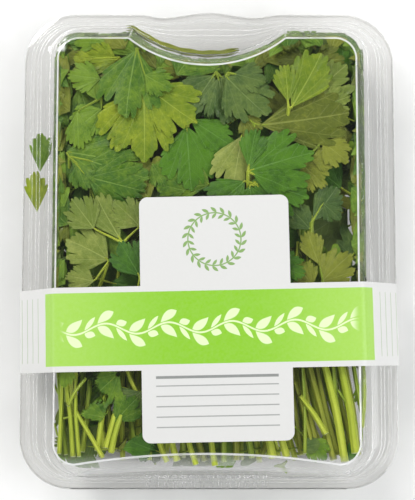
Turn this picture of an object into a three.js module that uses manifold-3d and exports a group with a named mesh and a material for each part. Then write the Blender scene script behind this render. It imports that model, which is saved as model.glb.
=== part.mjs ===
// Flat-leaf parsley bunch in its clear hinged pack: cut leafy stems lying flat in a thermoformed tray,
// under a clear lid that turns on a hinge at the stem end, with a plain wrap label stuck on the lid.
// Millimetres. +X is to the right, +Y from the stem ends to the leafy end, +Z up, and the origin is
// on the resting plane under the middle of the pack.
import * as THREE from "three";
import { mergeVertices } from "three/addons/utils/BufferGeometryUtils.js";
import Module from "manifold-3d";

const wasm = await Module();
wasm.setup();

// Pack
const sheet = 0.6; // thickness of the formed plastic
const seam = 0.15; // each flange stays this far from the plane where they meet
const seamHeight = 20; // the tray's and the lid's flanges meet here
const lidTop = 38;
const flangeHalfWidth = 80;
const flangeBack = 101.6; // leafy end of the flange
const flangeFront = -102.5; // hinge end of the flange
const flangeRadius = 22;
const lipDrop = 2.4; // the tray's rim turns down this far
const shelfHeight = 24; // raised band of the lid round its dome
const scallopHalf = 33; // thumb scallop at the leafy end: half its chord, and its depth
const scallopDepth = 11.5;
const tabHalf = 21; // thumb tab: half its width, how far it stands out, and the dips beside it
const tabOut = 0.9;
const tabDip = 1.3;
const tabShoulder = 29;

// Label
const labelThick = 0.3;
const labelGap = 0.3;
const panelWidth = 62;
const panelCentre = 3;
const panelBack = 19.2;
const panelFront = -82;
const panelRadius = 3.5;
const bandBack = -17.7;
const bandFront = -52.4;
const domeHalfWidth = 62;
const flapBottom = 11.5;
const flapGap = 0.45;

// Foliage
const bladeThick = 0.6;
const topLevel = 36.2; // the highest leaves lie just under the lid
const levelStep = 1.35; // each lower layer of leaves
const stalkHalfWidth = 0.65;
const shortStalk = 2.2; // a stalk shorter than this is straight
const clearance = 0.35; // kept round a stem where it passes through another sprig's leaf
const stemRows = { upper: 26, lower: 20.5 };
const cutEnd = -88;
const bendAt = -48; // the stems lean below here, and run straight on above it
const lean = 0.28; // sideways for each millimetre along, on the right of the pack
const leanFrom = 8; // stems cut left of here don't lean, and those right of leanFull lean in full
const leanFull = 38;
const riseLength = 18; // a stem climbs to its leaves over this length
const stemSides = 5;
const stemSteps = 6;

// Solids

function toSolid(geometry) {
  const bare = new THREE.BufferGeometry().setAttribute(
    "position",
    geometry.getAttribute("position"),
  );
  if (geometry.index) bare.setIndex(geometry.index);
  const merged = mergeVertices(bare, 1e-4);
  return new wasm.Manifold(
    new wasm.Mesh({
      numProp: 3,
      vertProperties: merged.attributes.position.array,
      triVerts: new Uint32Array(merged.index.array),
    }),
  );
}

function toGeometry(solid) {
  const mesh = solid.getMesh();
  const points = new Float32Array(mesh.numVert * 3);
  for (let i = 0; i < mesh.numVert; i++) {
    const from = i * mesh.numProp;
    points.set(mesh.vertProperties.subarray(from, from + 3), i * 3);
  }
  const geometry = new THREE.BufferGeometry();
  geometry.setAttribute("position", new THREE.BufferAttribute(points, 3));
  geometry.setIndex(new THREE.BufferAttribute(mesh.triVerts, 1));
  geometry.computeVertexNormals();
  return geometry;
}

const volumeOf = (solid) => solid.volume();
const largestPiece = (solid) =>
  solid.decompose().sort((a, b) => volumeOf(b) - volumeOf(a))[0];

// Pack outlines

const cornerSteps = 5;
const backSteps = 12;
const frontSteps = 6;

function scallopAt(x, depth) {
  if (Math.abs(x) >= scallopHalf || depth === 0) return 0;
  const r = (scallopHalf ** 2 + depth ** 2) / (2 * depth);
  return depth - (r - Math.sqrt(r * r - x * x));
}

function tabAt(x) {
  const across = Math.abs(x);
  if (across >= tabShoulder) return 0;
  if (across > tabHalf)
    return (-tabDip * (tabShoulder - across)) / (tabShoulder - tabHalf);
  return (
    -tabDip +
    (tabOut + tabDip) * Math.cos((Math.PI * across) / (2 * tabHalf)) ** 2
  );
}

// One closed outline of the pack, counterclockwise, always with the same number of points.
function outline({ half, back, front, radius, scallop = 0, bow = 0, tab = 0 }) {
  const points = [];
  const corner = (cx, cy, from) => {
    for (let i = 0; i <= cornerSteps; i++) {
      const a = from + (i / cornerSteps) * (Math.PI / 2);
      points.push([cx + radius * Math.cos(a), cy + radius * Math.sin(a)]);
    }
  };
  const flat = half - radius;
  corner(flat, front + radius, -Math.PI / 2);
  corner(flat, back - radius, 0);
  for (let i = 0; i <= backSteps; i++) {
    const x = scallopHalf * (1 - (2 * i) / backSteps);
    points.push([x, back - scallopAt(x, scallop) + tab * tabAt(x)]);
  }
  corner(-flat, back - radius, Math.PI / 2);
  corner(-flat, front + radius, Math.PI);
  for (let i = 1; i < frontSteps; i++) {
    const x = flat * ((2 * i) / frontSteps - 1);
    points.push([x, front + bow * (1 - (x / flat) ** 2)]);
  }
  return points;
}

// A closed skin through rings of equal length, from the middle of the outer face to the middle of the
// inner one.
function loft(rings) {
  const count = rings[0].points.length;
  const positions = rings.flatMap(({ points, z }) =>
    points.flatMap(([x, y]) => [x, y, z]),
  );
  const index = [];
  for (let r = 0; r + 1 < rings.length; r++)
    for (let i = 0; i < count; i++) {
      const a = r * count + i;
      const b = r * count + ((i + 1) % count);
      index.push(a, b, b + count, a, b + count, a + count);
    }
  const cap = (r, flip) => {
    const contour = rings[r].points.map(([x, y]) => new THREE.Vector2(x, y));
    for (const [a, b, c] of THREE.ShapeUtils.triangulateShape(contour, [])) {
      const face = flip ? [a, c, b] : [a, b, c];
      index.push(...face.map((i) => i + r * count));
    }
  };
  cap(0, true);
  cap(rings.length - 1, false);
  const geometry = new THREE.BufferGeometry();
  geometry.setAttribute(
    "position",
    new THREE.Float32BufferAttribute(positions, 3),
  );
  geometry.setIndex(index);
  return toSolid(geometry);
}

const flange = (inset, tab = 1) =>
  outline({
    half: flangeHalfWidth - inset,
    back: flangeBack - inset,
    front: flangeFront + inset,
    radius: flangeRadius - inset,
    tab,
  });

function trayWall(half, back, front, radius) {
  return outline({ half, back, front, radius, scallop: scallopDepth });
}

function makeTray() {
  const top = seamHeight - seam;
  const under = top - sheet;
  const lip = top - lipDrop;
  return loft([
    { points: trayWall(58.5, 88, -91, 12), z: 0 },
    { points: trayWall(60, 89.5, -92.5, 13), z: 1.2 },
    { points: trayWall(66.6, 96, -98, 16), z: under },
    { points: flange(sheet), z: under },
    { points: flange(sheet), z: lip },
    { points: flange(0), z: lip },
    { points: flange(0), z: top },
    { points: trayWall(66, 95.4, -97.4, 15.4), z: top },
    { points: trayWall(59.4, 88.9, -91.9, 12.4), z: 1.2 + sheet / 2 },
    { points: trayWall(58, 87.5, -90.5, 11.5), z: sheet },
  ]);
}

function domeFoot(grow) {
  return outline({
    half: 68 + grow,
    back: 94 + grow,
    front: -96.5 - grow,
    radius: 14 + grow,
    scallop: scallopDepth,
    bow: 2,
  });
}

function domeEdge(grow) {
  return outline({
    half: domeHalfWidth + grow,
    back: 86.7 + grow,
    front: -91.6 - grow,
    radius: 9 + grow,
    scallop: scallopDepth,
    bow: 4.6,
  });
}

function makeLid() {
  const under = seamHeight + seam;
  return loft([
    { points: domeEdge(-0.4), z: lidTop - sheet },
    { points: domeFoot(-0.6), z: shelfHeight - sheet },
    { points: flange(5, 0.6), z: shelfHeight - sheet },
    { points: flange(3.8, 0.8), z: under },
    { points: flange(0), z: under },
    { points: flange(0), z: under + sheet },
    { points: flange(3.2, 0.8), z: under + sheet },
    { points: flange(4.4, 0.6), z: shelfHeight },
    { points: domeFoot(0), z: shelfHeight },
    { points: domeEdge(0), z: lidTop },
  ]);
}

// A panel on the lid's flat top, and a band across it that folds over both long sides.
function makeLabel() {
  const low = lidTop + labelGap;
  const high = low + labelThick;
  const left = panelCentre - panelWidth / 2;
  const right = panelCentre + panelWidth / 2;
  const panel = new THREE.Shape();
  panel.moveTo(left + panelRadius, panelFront);
  panel.lineTo(right - panelRadius, panelFront);
  panel.absarc(
    right - panelRadius,
    panelFront + panelRadius,
    panelRadius,
    -Math.PI / 2,
    0,
  );
  panel.absarc(
    right - panelRadius,
    panelBack - panelRadius,
    panelRadius,
    0,
    Math.PI / 2,
  );
  panel.absarc(
    left + panelRadius,
    panelBack - panelRadius,
    panelRadius,
    Math.PI / 2,
    Math.PI,
  );
  panel.absarc(
    left + panelRadius,
    panelFront + panelRadius,
    panelRadius,
    Math.PI,
    1.5 * Math.PI,
  );
  const plate = new THREE.ExtrudeGeometry(panel, {
    depth: labelThick,
    bevelEnabled: false,
    curveSegments: 4,
  });
  plate.translate(0, 0, low);
  const inner = flangeHalfWidth + flapGap;
  const outer = inner + labelThick;
  const fold = domeHalfWidth + 0.6;
  const brink = seamHeight + seam + sheet + 0.6;
  const half = [
    [fold, high],
    [outer, brink + labelThick],
    [outer, flapBottom],
    [inner, flapBottom],
    [inner, brink],
    [fold - labelThick, low],
  ];
  const across = new THREE.Shape([
    ...half.map(([x, z]) => new THREE.Vector2(x, z)),
    ...half.map(([x, z]) => new THREE.Vector2(-x, z)).reverse(),
  ]);
  const band = new THREE.ExtrudeGeometry(across, {
    depth: bandBack - bandFront,
    bevelEnabled: false,
  });
  band.rotateX(Math.PI / 2);
  band.translate(0, bandBack, 0);
  return toSolid(plate).add(toSolid(band));
}

// Leaflets

// Half of a leaflet's cut edge, from its shoulder to its tip: share of the blade's spread and distance
// from its base.
const fineEdge = [
  [1, 0.4],
  [0.88, 0.64],
  [0.77, 0.58],
  [0.66, 0.82],
  [0.55, 0.71],
  [0.45, 0.88],
  [0.29, 0.57],
  [0.15, 0.92],
];
const plainEdge = [
  [1, 0.42],
  [0.8, 0.8],
  [0.6, 0.68],
  [0.46, 0.88],
  [0.28, 0.58],
  [0.13, 0.93],
];
const spreads = { fan: 56, cleft: 50, oblong: 34 }; // degrees each side of the midrib
const stalkReach = 0.11; // a leaflet's stalk runs on this far into its blade

const degrees = (a) => (a * Math.PI) / 180;

function flatSolid(shape, z) {
  const geometry = new THREE.ExtrudeGeometry(shape, {
    depth: bladeThick,
    bevelEnabled: false,
  });
  geometry.translate(0, 0, z - bladeThick / 2);
  return toSolid(geometry);
}

// The blades are pressed flat, as in the pack, each sprig's in a layer of its own.
function bladeOf({ at, heading, length, form, edge = fineEdge }, z) {
  const spread = degrees(spreads[form]);
  const turn = degrees(heading);
  const rim = [
    ...edge.map(([share, reach]) => [-share, reach]),
    [0, 1],
    ...[...edge].reverse(),
  ];
  const shape = new THREE.Shape([new THREE.Vector2(...at)]);
  for (const [share, reach] of rim) {
    const angle = turn + share * spread;
    shape.lineTo(
      at[0] + length * reach * Math.cos(angle),
      at[1] + length * reach * Math.sin(angle),
    );
  }
  return flatSolid(shape, z);
}

function tube(curve, radius) {
  const section = new THREE.Shape(
    Array.from({ length: stemSides }, (_, i) => {
      const a = (2 * Math.PI * i) / stemSides;
      return new THREE.Vector2(radius * Math.cos(a), radius * Math.sin(a));
    }),
  );
  return toSolid(
    new THREE.ExtrudeGeometry(section, {
      steps: stemSteps,
      bevelEnabled: false,
      extrudePath: curve,
    }),
  );
}

function barOf([ax, ay], [bx, by], z) {
  const length = Math.hypot(bx - ax, by - ay);
  const dx = (stalkHalfWidth * (bx - ax)) / length;
  const dy = (stalkHalfWidth * (by - ay)) / length;
  const shape = new THREE.Shape([
    new THREE.Vector2(ax - dx + dy, ay - dy - dx),
    new THREE.Vector2(bx + dx + dy, by + dy - dx),
    new THREE.Vector2(bx + dx - dy, by + dy + dx),
    new THREE.Vector2(ax - dx - dy, ay - dy + dx),
  ]);
  return flatSolid(shape, z);
}

// The stalk of one leaflet, from where the stalks part to inside the foot of its blade.
function stalksOf({ at, heading, length }, node, z) {
  const turn = degrees(heading);
  const reach = stalkReach * length;
  const into = [at[0] + reach * Math.cos(turn), at[1] + reach * Math.sin(turn)];
  if (Math.hypot(at[0] - node[0], at[1] - node[1]) < shortStalk)
    return [barOf(node, into, z)];
  return [barOf(node, at, z), barOf(at, into, z)];
}

// A stem runs level from its cut end, then climbs to its leaves.
class StemCurve extends THREE.Curve {
  constructor(plan, low, high) {
    super();
    this.plan = plan;
    this.low = low;
    this.high = high;
    this.climbFrom = 1 - Math.min(0.6, riseLength / plan.getLength());
  }

  getPoint(t, target = new THREE.Vector3()) {
    this.plan.getPointAt(t, target);
    const climb = THREE.MathUtils.smoothstep(t, this.climbFrom, 1);
    target.z = THREE.MathUtils.lerp(this.low, this.high, climb);
    return target;
  }
}

function stemCurve({ root, node, row, z }) {
  const bendY = Math.min(bendAt, (root[1] + node[1]) / 2);
  const slant = lean * THREE.MathUtils.smoothstep(root[0], leanFrom, leanFull);
  const bendX = root[0] - slant * (bendY - root[1]);
  const plan = new THREE.CatmullRomCurve3([
    new THREE.Vector3(...root, 0),
    new THREE.Vector3(bendX, bendY, 0),
    new THREE.Vector3(...node, 0),
  ]);
  return new StemCurve(plan, stemRows[row] ?? row, z);
}

// Sprigs

const fan = "fan";
const cleft = "cleft";
const oblong = "oblong";
const leaf = (x, y, heading, length, form) => ({
  at: [x, y],
  heading,
  length,
  form,
});

// Each sprig: where its stalks part, where its stem is cut, its layer of leaves counted down from the lid
// or their height, its stem's row or height and its radius, its colour, and its leaflets by base, heading,
// length and form.
const upperSprigs = [
  {
    node: [-30.5, 82.6], root: [-38, -87], layer: 0, row: "lower", radius: 1.2, tone: "mid",
    leaves: [leaf(-30.6, 82, -101, 30, cleft), leaf(-27, 71, -30, 13, fan)],
  },
  {
    node: [8, 72], root: [7, -90], layer: 0, row: "lower", radius: 1.3, tone: "dull",
    leaves: [leaf(7.3, 70.2, -46, 24, fan), leaf(10.5, 71.5, -14, 14, fan)],
  },
  {
    node: [16.3, 30], root: [21, -91], layer: 0, row: "upper", radius: 1.2, tone: "bright",
    leaves: [
      leaf(16.3, 30, 18, 29, cleft),
      leaf(16.6, 31.5, 80, 17, oblong),
      leaf(18, 29, -20, 17, oblong),
    ],
  },
  {
    node: [33.5, 57], root: [39, -88], layer: 0, row: "lower", radius: 1.2, tone: "lime",
    leaves: [leaf(34.6, 57, 59, 27, oblong), leaf(33.2, 59.5, 92, 16, oblong)],
  },
  {
    node: [-28, 66], root: [-30, -89], layer: 1, row: "lower", radius: 1.3, tone: "lime",
    leaves: [
      leaf(-30, 64, -112, 27, cleft),
      leaf(-27.5, 63, -88, 29, cleft),
      leaf(-26, 66, -38, 26, cleft),
    ],
  },
  {
    node: [19, 50.5], root: [25, -89], layer: 1, row: "lower", radius: 1.4, tone: "olive",
    leaves: [leaf(21.6, 49.8, 7, 38, oblong), leaf(14.5, 54, -58, 11, fan)],
  },
  {
    node: [-9, 52], root: [-18, -88], layer: 3, row: "lower", radius: 1.3, tone: "bright",
    leaves: [leaf(-9.5, 50, -86, 28, cleft), leaf(-8, 53, -33, 21, oblong)],
  },
  {
    node: [3, 73], root: [-5, -91], layer: 2, row: "lower", radius: 1.1, tone: "dull",
    leaves: [
      leaf(2, 71.5, -124, 20, fan),
      leaf(4, 70.5, -80, 20, fan),
      leaf(5, 71, -36, 17, fan),
    ],
  },
  {
    node: [14, 46], root: [13.5, -90], layer: 2, row: "upper", radius: 1, tone: "pale",
    leaves: [leaf(13.9, 45.4, -101, 24, cleft)],
  },
  {
    node: [40, 58], root: [48, -88], layer: 2, row: "lower", radius: 1.3, tone: "pale",
    leaves: [leaf(38.4, 59.1, 40, 27, fan), leaf(46.7, 57.9, 20, 14, fan)],
  },
  {
    node: [20.5, 24.5], root: [29, -89], layer: 1, row: "upper", radius: 1.1, tone: "bright",
    leaves: [
      leaf(18, 26, -14, 25, fan),
      leaf(17, 24, -82, 20, fan),
      leaf(15, 26, -140, 20, cleft),
    ],
  },
  {
    node: [-59, 37], root: [-60, -86], layer: 3, row: "lower", radius: 1.1, tone: "mid",
    leaves: [
      leaf(-60, 39, -10, 27, fan),
      leaf(-50, 35, -19, 26, fan),
      leaf(-51, 28, -14, 25, fan),
      leaf(-55.5, 33.7, -71, 12, fan),
    ],
  },
  {
    node: [-45.5, 62], root: [-53, -88], layer: 2, row: "lower", radius: 1.1, tone: "mid",
    leaves: [
      leaf(-45.4, 57, -142, 16, fan),
      leaf(-47.5, 61, 95, 9, fan),
      leaf(-46, 70, 173, 14, fan),
      leaf(-55.5, 56, -88, 16, oblong),
    ],
  },
  {
    node: [-38, 79.5], root: [-46, -88], layer: 3, row: "lower", radius: 1, tone: "lime",
    leaves: [leaf(-39.2, 78.5, 172, 14, fan), leaf(-49, 79, 178, 9, oblong)],
  },
  {
    node: [41, 36], root: [45, -89], layer: 2, row: "upper", radius: 1.3, tone: "olive",
    leaves: [
      leaf(39, 33.5, -43, 14, fan),
      leaf(43, 35.5, 2, 11, fan),
      leaf(48, 43, -40, 14, fan),
    ],
  },
  {
    node: [43, 9], root: [51, -87], layer: 3, row: "upper", radius: 1.4, tone: "dull",
    leaves: [
      leaf(42.5, 6, 131, 13, cleft),
      leaf(43.5, 9.5, 54, 18, oblong),
      leaf(48, 17, -43, 10, fan),
    ],
  },
  {
    node: [48, -18], root: [58, -88], layer: 2, row: "upper", radius: 1.45, tone: "olive",
    leaves: [
      leaf(46, -9, 111, 15, oblong),
      leaf(47, -16, 45, 17, fan),
      leaf(43, -18, 122, 12, fan),
    ],
  },
  {
    node: [-36, 0], root: [-44, -86], layer: 1, row: "upper", radius: 1, tone: "pale",
    leaves: [
      leaf(-37, 1.6, 121, 21, oblong),
      leaf(-29, 7, 134, 15, fan),
      leaf(-48, 6, 127, 16, fan),
    ],
  },
  {
    node: [-42, -8], root: [-57, -88], layer: 2, row: "upper", radius: 1.1, tone: "pale",
    leaves: [leaf(-42, -7, 151, 20, fan), leaf(-48, -16, 166, 12, fan)],
  },
  {
    node: [-28.5, -15], root: [-36, -90], layer: 0, row: "upper", radius: 1.1, tone: "bright",
    leaves: [leaf(-28.8, -14, 120, 17, cleft), leaf(-27, -15, 60, 18, fan)],
  },
  {
    node: [-15, 30], root: [-27, -88], layer: 4, row: "upper", radius: 1, tone: "mid",
    leaves: [leaf(-10, 22.5, 168, 12, fan), leaf(-24, 34, -59, 11, cleft)],
  },
  {
    node: [-8, 12], root: [-11, -89], layer: 2, row: "upper", radius: 1.2, tone: "mid",
    leaves: [
      leaf(-9, 12, 196, 19, cleft),
      leaf(-8, 11, 262, 21, fan),
      leaf(-7, 12, 326, 16, fan),
    ],
  },
  {
    node: [8, -4], root: [3, -88], layer: 3, row: "upper", radius: 1.2, tone: "mid",
    leaves: [
      leaf(8, -5, 300, 20, cleft),
      leaf(7, -5, 238, 20, fan),
      leaf(9, -3, 12, 15, fan),
    ],
  },
  {
    node: [24, -8], root: [36, -90], layer: 1, row: "upper", radius: 1.2, tone: "bright",
    leaves: [leaf(24, -9, 278, 20, cleft), leaf(25, -8, 338, 16, fan)],
  },
  {
    node: [-12, -14], root: [-19, -89], layer: 1, row: "upper", radius: 1.1, tone: "mid",
    leaves: [leaf(-13, -15, 218, 18, fan), leaf(-11, -15, 284, 19, cleft)],
  },
  {
    node: [-38, -58], root: [-50, -87], height: 23.4, row: 23.4, radius: 0.85, tone: "mid",
    leaves: [
      leaf(-37, -54, -138, 17, fan),
      leaf(-38.8, -74, 48, 14, cleft),
      leaf(-43, -72, 172, 10, fan),
    ],
  },
  {
    node: [43, 80.5], root: [57, -88], layer: 4, row: "lower", radius: 1.3, tone: "olive",
    leaves: [leaf(41, 79, 178, 12, fan), leaf(44, 78.5, 4, 14, fan)],
  },
  {
    node: [29, -32], root: [40, -86], layer: 3, row: "upper", radius: 1.3, tone: "dull",
    leaves: [leaf(29, -31, 100, 14, fan), leaf(30.5, -32, 30, 10, fan)],
  },
  {
    node: [54, -36], root: [62.5, -86], layer: 3, row: "upper", radius: 1.3, tone: "mid",
    leaves: [leaf(54, -35, 78, 15, fan)],
  },
];

// The same number from the same seed every time, between 0 and 1.
function dice(seed) {
  let state = seed;
  return () => {
    state = (state * 16807) % 2147483647;
    return state / 2147483647;
  };
}

// Sprigs seen through the tray's floor: three rows of three, with their leaves spread round each node.
const underColumns = [-34, 1, 35];
const underRows = [
  { y: -14, stems: 11.6 },
  { y: 20, stems: 14.3 },
  { y: 51, stems: 17 },
];
const underLevels = [2.4, 4.6, 6.8, 9]; // neighbours lie at different heights
const underLeaves = 3;

function makeUnderSprigs() {
  const roll = dice(2024);
  const found = [];
  underRows.forEach(({ y, stems }, j) =>
    underColumns.forEach((x, i) => {
      const node = [x + 6 * (roll() - 0.5), y + 6 * (roll() - 0.5)];
      const first = 360 * roll();
      const leaves = [];
      for (let k = 0; k < underLeaves; k++) {
        const heading = first + (k - (underLeaves - 1) / 2) * 100;
        const a = degrees(heading);
        leaves.push({
          at: [node[0] + 3 * Math.cos(a), node[1] + 3 * Math.sin(a)],
          heading,
          length: 17 + 4 * roll(),
          form: roll() < 0.5 ? fan : cleft,
          edge: plainEdge,
        });
      }
      found.push({
        node,
        root: [x * 1.15 + 6 * (j - 1), cutEnd + 2 * roll()],
        height: underLevels[(i + 2 * j) % 4],
        row: stems,
        radius: 1.1,
        tone: ["mid", "dull", "olive"][(i + j) % 3],
        leaves,
      });
    }),
  );
  return found;
}

function makeSprigs() {
  const sprigs = [...upperSprigs, ...makeUnderSprigs()].map((s) => ({
    ...s,
    z: s.height ?? topLevel - levelStep * s.layer,
  }));
  for (const s of sprigs) s.curve = stemCurve(s);
  return sprigs.map((s) => {
    const flat = s.leaves.flatMap((l) => [
      bladeOf(l, s.z),
      ...stalksOf(l, s.node, s.z),
    ]);
    let leaves = wasm.Manifold.union(flat).asOriginal(); // its flush faces become one
    for (const other of sprigs) {
      if (other === s) continue;
      const cutter = tube(other.curve, other.radius + clearance);
      if (volumeOf(leaves.intersect(cutter)) > 0) leaves = leaves.subtract(cutter);
    }
    const stem = tube(s.curve, s.radius);
    return { tone: s.tone, solid: largestPiece(leaves.add(stem)) };
  });
}

// Materials

const plastic = new THREE.MeshStandardMaterial({
  color: 0xe9eeee,
  roughness: 0.08,
  metalness: 0,
  transparent: true,
  opacity: 0.25,
});
const paper = new THREE.MeshStandardMaterial({ color: 0xf2f2f0, roughness: 0.45 });
const green = (color) =>
  new THREE.MeshStandardMaterial({ color, roughness: 0.5, metalness: 0 });
const tones = {
  mid: green(0x5d8f3a),
  bright: green(0x5f9a2b),
  lime: green(0x86a83c),
  pale: green(0x93a85a),
  dull: green(0x5b7c46),
  olive: green(0x74863d),
};

// Assembly

const bunch = new THREE.Group();

function place(name, solid, material) {
  const mesh = new THREE.Mesh(toGeometry(solid), material);
  mesh.name = name;
  bunch.add(mesh);
}

place("tray", makeTray(), plastic);
place("lid", makeLid(), plastic);
place("label", makeLabel(), paper);
makeSprigs().forEach(({ tone, solid }, i) =>
  place(`sprig_${String(i + 1).padStart(2, "0")}`, solid, tones[tone]),
);

export default bunch;
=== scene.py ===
# Flat-leaf parsley in its clear hinged pack: leaves, stems, formed plastic, label, light and camera.
# Lengths are written in millimetres and turned into metres where a mesh is made.
import bpy
import bmesh
import math
import random
import numpy as np
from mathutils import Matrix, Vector


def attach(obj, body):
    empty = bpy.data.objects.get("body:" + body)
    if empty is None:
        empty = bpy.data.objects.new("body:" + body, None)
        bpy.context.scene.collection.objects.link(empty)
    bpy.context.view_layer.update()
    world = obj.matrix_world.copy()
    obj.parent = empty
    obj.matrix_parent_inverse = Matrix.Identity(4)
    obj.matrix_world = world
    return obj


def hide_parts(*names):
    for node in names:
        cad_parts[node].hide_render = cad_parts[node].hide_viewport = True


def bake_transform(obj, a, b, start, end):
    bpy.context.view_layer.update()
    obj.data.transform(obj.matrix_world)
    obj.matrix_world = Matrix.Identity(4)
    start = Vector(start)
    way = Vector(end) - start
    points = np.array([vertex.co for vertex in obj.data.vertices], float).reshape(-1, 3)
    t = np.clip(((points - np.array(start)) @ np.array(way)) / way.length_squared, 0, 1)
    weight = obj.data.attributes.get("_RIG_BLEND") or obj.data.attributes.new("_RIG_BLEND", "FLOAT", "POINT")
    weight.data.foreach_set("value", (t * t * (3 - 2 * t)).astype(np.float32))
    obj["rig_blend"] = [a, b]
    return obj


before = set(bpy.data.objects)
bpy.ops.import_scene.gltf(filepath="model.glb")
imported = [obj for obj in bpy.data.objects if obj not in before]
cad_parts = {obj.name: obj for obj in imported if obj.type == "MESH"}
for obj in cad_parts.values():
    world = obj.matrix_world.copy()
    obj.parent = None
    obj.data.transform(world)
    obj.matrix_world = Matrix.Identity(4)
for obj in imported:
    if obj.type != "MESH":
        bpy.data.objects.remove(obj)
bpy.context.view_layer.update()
mm = 0.001
print("frame loaded")

studio = {
    "elevation": 84.0,
    "distance": 550.0,
    "target": (0.0, 0.0, 20.0),
    "lens": 111.4,
    "shiftX": -0.0036,
    "shiftY": -0.0084,
    "width": 415,
    "height": 500,
    "sensor": 36.0,
    "world": 0.36,
    "overhead": 0.1,
}


# shader expressions

class Finish:
    # one material, and the only way its nodes are made
    def __init__(self, name):
        self.material = bpy.data.materials.new(name)
        self.material.use_nodes = True
        self.tree = self.material.node_tree
        self.tree.nodes.clear()

    def node(self, kind, settings=None, sockets=None):
        made = self.tree.nodes.new(kind)
        for key, value in (settings or {}).items():
            setattr(made, key, value)
        for key, value in (sockets or {}).items():
            self.feed(made.inputs[key], value)
        return made

    def feed(self, socket, value):
        if isinstance(value, Val):
            self.tree.links.new(value.socket, socket)
        elif isinstance(value, bpy.types.NodeSocket):
            self.tree.links.new(value, socket)
        else:
            socket.default_value = value

    def val(self, kind, output=0, settings=None, sockets=None):
        return Val(self, self.node(kind, settings, sockets).outputs[output])

    def mix(self, low, high, share):
        # a colour between two colours
        mixer = self.node("ShaderNodeMix", {"data_type": "RGBA"})
        for at, value in ((0, share), (6, low), (7, high)):
            self.feed(mixer.inputs[at], value)
        return mixer.outputs[2]

    def finish(self, shader):
        self.node("ShaderNodeOutputMaterial", None, {"Surface": shader})
        return self.material


class Val:
    # a socket that takes part in sums
    def __init__(self, finish, socket):
        self.finish = finish
        self.socket = socket

    def math(self, operation, first, second=None):
        sockets = {0: first}
        if second is not None:
            sockets[1] = second
        return self.finish.val("ShaderNodeMath", 0, {"operation": operation}, sockets)

    def __add__(self, other):
        return self.math("ADD", self, other)

    def __radd__(self, other):
        return self.math("ADD", other, self)

    def __sub__(self, other):
        return self.math("SUBTRACT", self, other)

    def __rsub__(self, other):
        return self.math("SUBTRACT", other, self)

    def __mul__(self, other):
        return self.math("MULTIPLY", self, other)

    def __rmul__(self, other):
        return self.math("MULTIPLY", other, self)

    def __truediv__(self, other):
        return self.math("DIVIDE", self, other)

    def __pow__(self, other):
        return self.math("POWER", self, other)


def absOf(v):
    return v.math("ABSOLUTE", v)


def sinOf(v):
    return v.math("SINE", v)


def fractOf(v):
    return v.math("FRACT", v)


def rootOf(v):
    return v.math("SQRT", v)


def least(a, b):
    return a.math("MINIMUM", a, b)


def most(a, b):
    return a.math("MAXIMUM", a, b)


def stepUp(v, low, high):
    # 0 below low, 1 above high, smooth between
    return v.finish.val(
        "ShaderNodeMapRange", 0, {"interpolation_type": "SMOOTHSTEP"},
        {"Value": v, "From Min": low, "From Max": high},
    )


def linear(code):
    # a hex colour as the linear numbers that shaders take
    parts = [int(code[i : i + 2], 16) / 255 for i in (0, 2, 4)]
    return tuple(c / 12.92 if c <= 0.04045 else ((c + 0.055) / 1.055) ** 2.4 for c in parts) + (1.0,)


def noiseOf(finish, scale, detail=2.0, vector=None):
    sockets = {"Scale": scale, "Detail": detail}
    if vector is not None:
        sockets["Vector"] = vector
    return finish.val("ShaderNodeTexNoise", 0, None, sockets)


def objectPlace(finish):
    place = finish.node("ShaderNodeTexCoord").outputs["Object"]
    split = finish.node("ShaderNodeSeparateXYZ", None, {0: place})
    return place, [Val(finish, s) for s in split.outputs]


# finishes

leafTones = {
    "mid": ("3c680a", "75961e"),
    "bright": ("2f5e02", "508206"),
    "lime": ("66820a", "98a81f"),
    "pale": ("6d822d", "9da850"),
    "dull": ("3e5c22", "6b8236"),
    "olive": ("57650f", "868f2a"),
    # the deep tone goes mostly on leaflets low in the pile: painted shade
    "deep": ("3c5416", "647528"),
}
leafSheen = {"roughness": 0.42, "mottle": 130.0, "veinBright": 0.4, "twigBright": 0.15, "bump": 0.5}
leafLobes = (0.0, 0.48, 0.84)  # shares of the leaflet's spread where the main veins run
lobeBounds = (0.29, 0.68)  # shares where one lobe's veins give way to the next lobe's


def veinMasks(finish):
    # a main vein runs to each lobe from the leaflet's foot, and side veins slant off it
    uv = finish.node("ShaderNodeUVMap", {"uv_map": "leafUv"}).outputs[0]
    split = finish.node("ShaderNodeSeparateXYZ", None, {0: uv})
    side = absOf(Val(finish, split.outputs[0]) * 2.0 - 1.0)
    reach = Val(finish, split.outputs[1])
    spread = finish.val("ShaderNodeAttribute", 2, {"attribute_name": "leafSpread"})
    outer = side.math("GREATER_THAN", side, lobeBounds[0])
    outmost = side.math("GREATER_THAN", side, lobeBounds[1])
    lobe = outer * leafLobes[1] + outmost * (leafLobes[2] - leafLobes[1])
    off = (side - lobe) * spread
    along = reach * off.math("COSINE", off)
    across = absOf(reach * sinOf(off))
    width = (0.013 - reach * 0.009) * (1.0 - outer * 0.35)
    main = (1.0 - stepUp(across - width, -0.004, 0.004)) * (1.0 - outer * 0.45)
    slant = fractOf((along - across * 1.1) * 7.0)
    twig = 1.0 - stepUp(absOf(slant - 0.5), 0.015, 0.07)
    twig = twig * (1.0 - stepUp(across, 0.14, 0.24)) * stepUp(along, 0.12, 0.25)
    return main, twig, across


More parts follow.
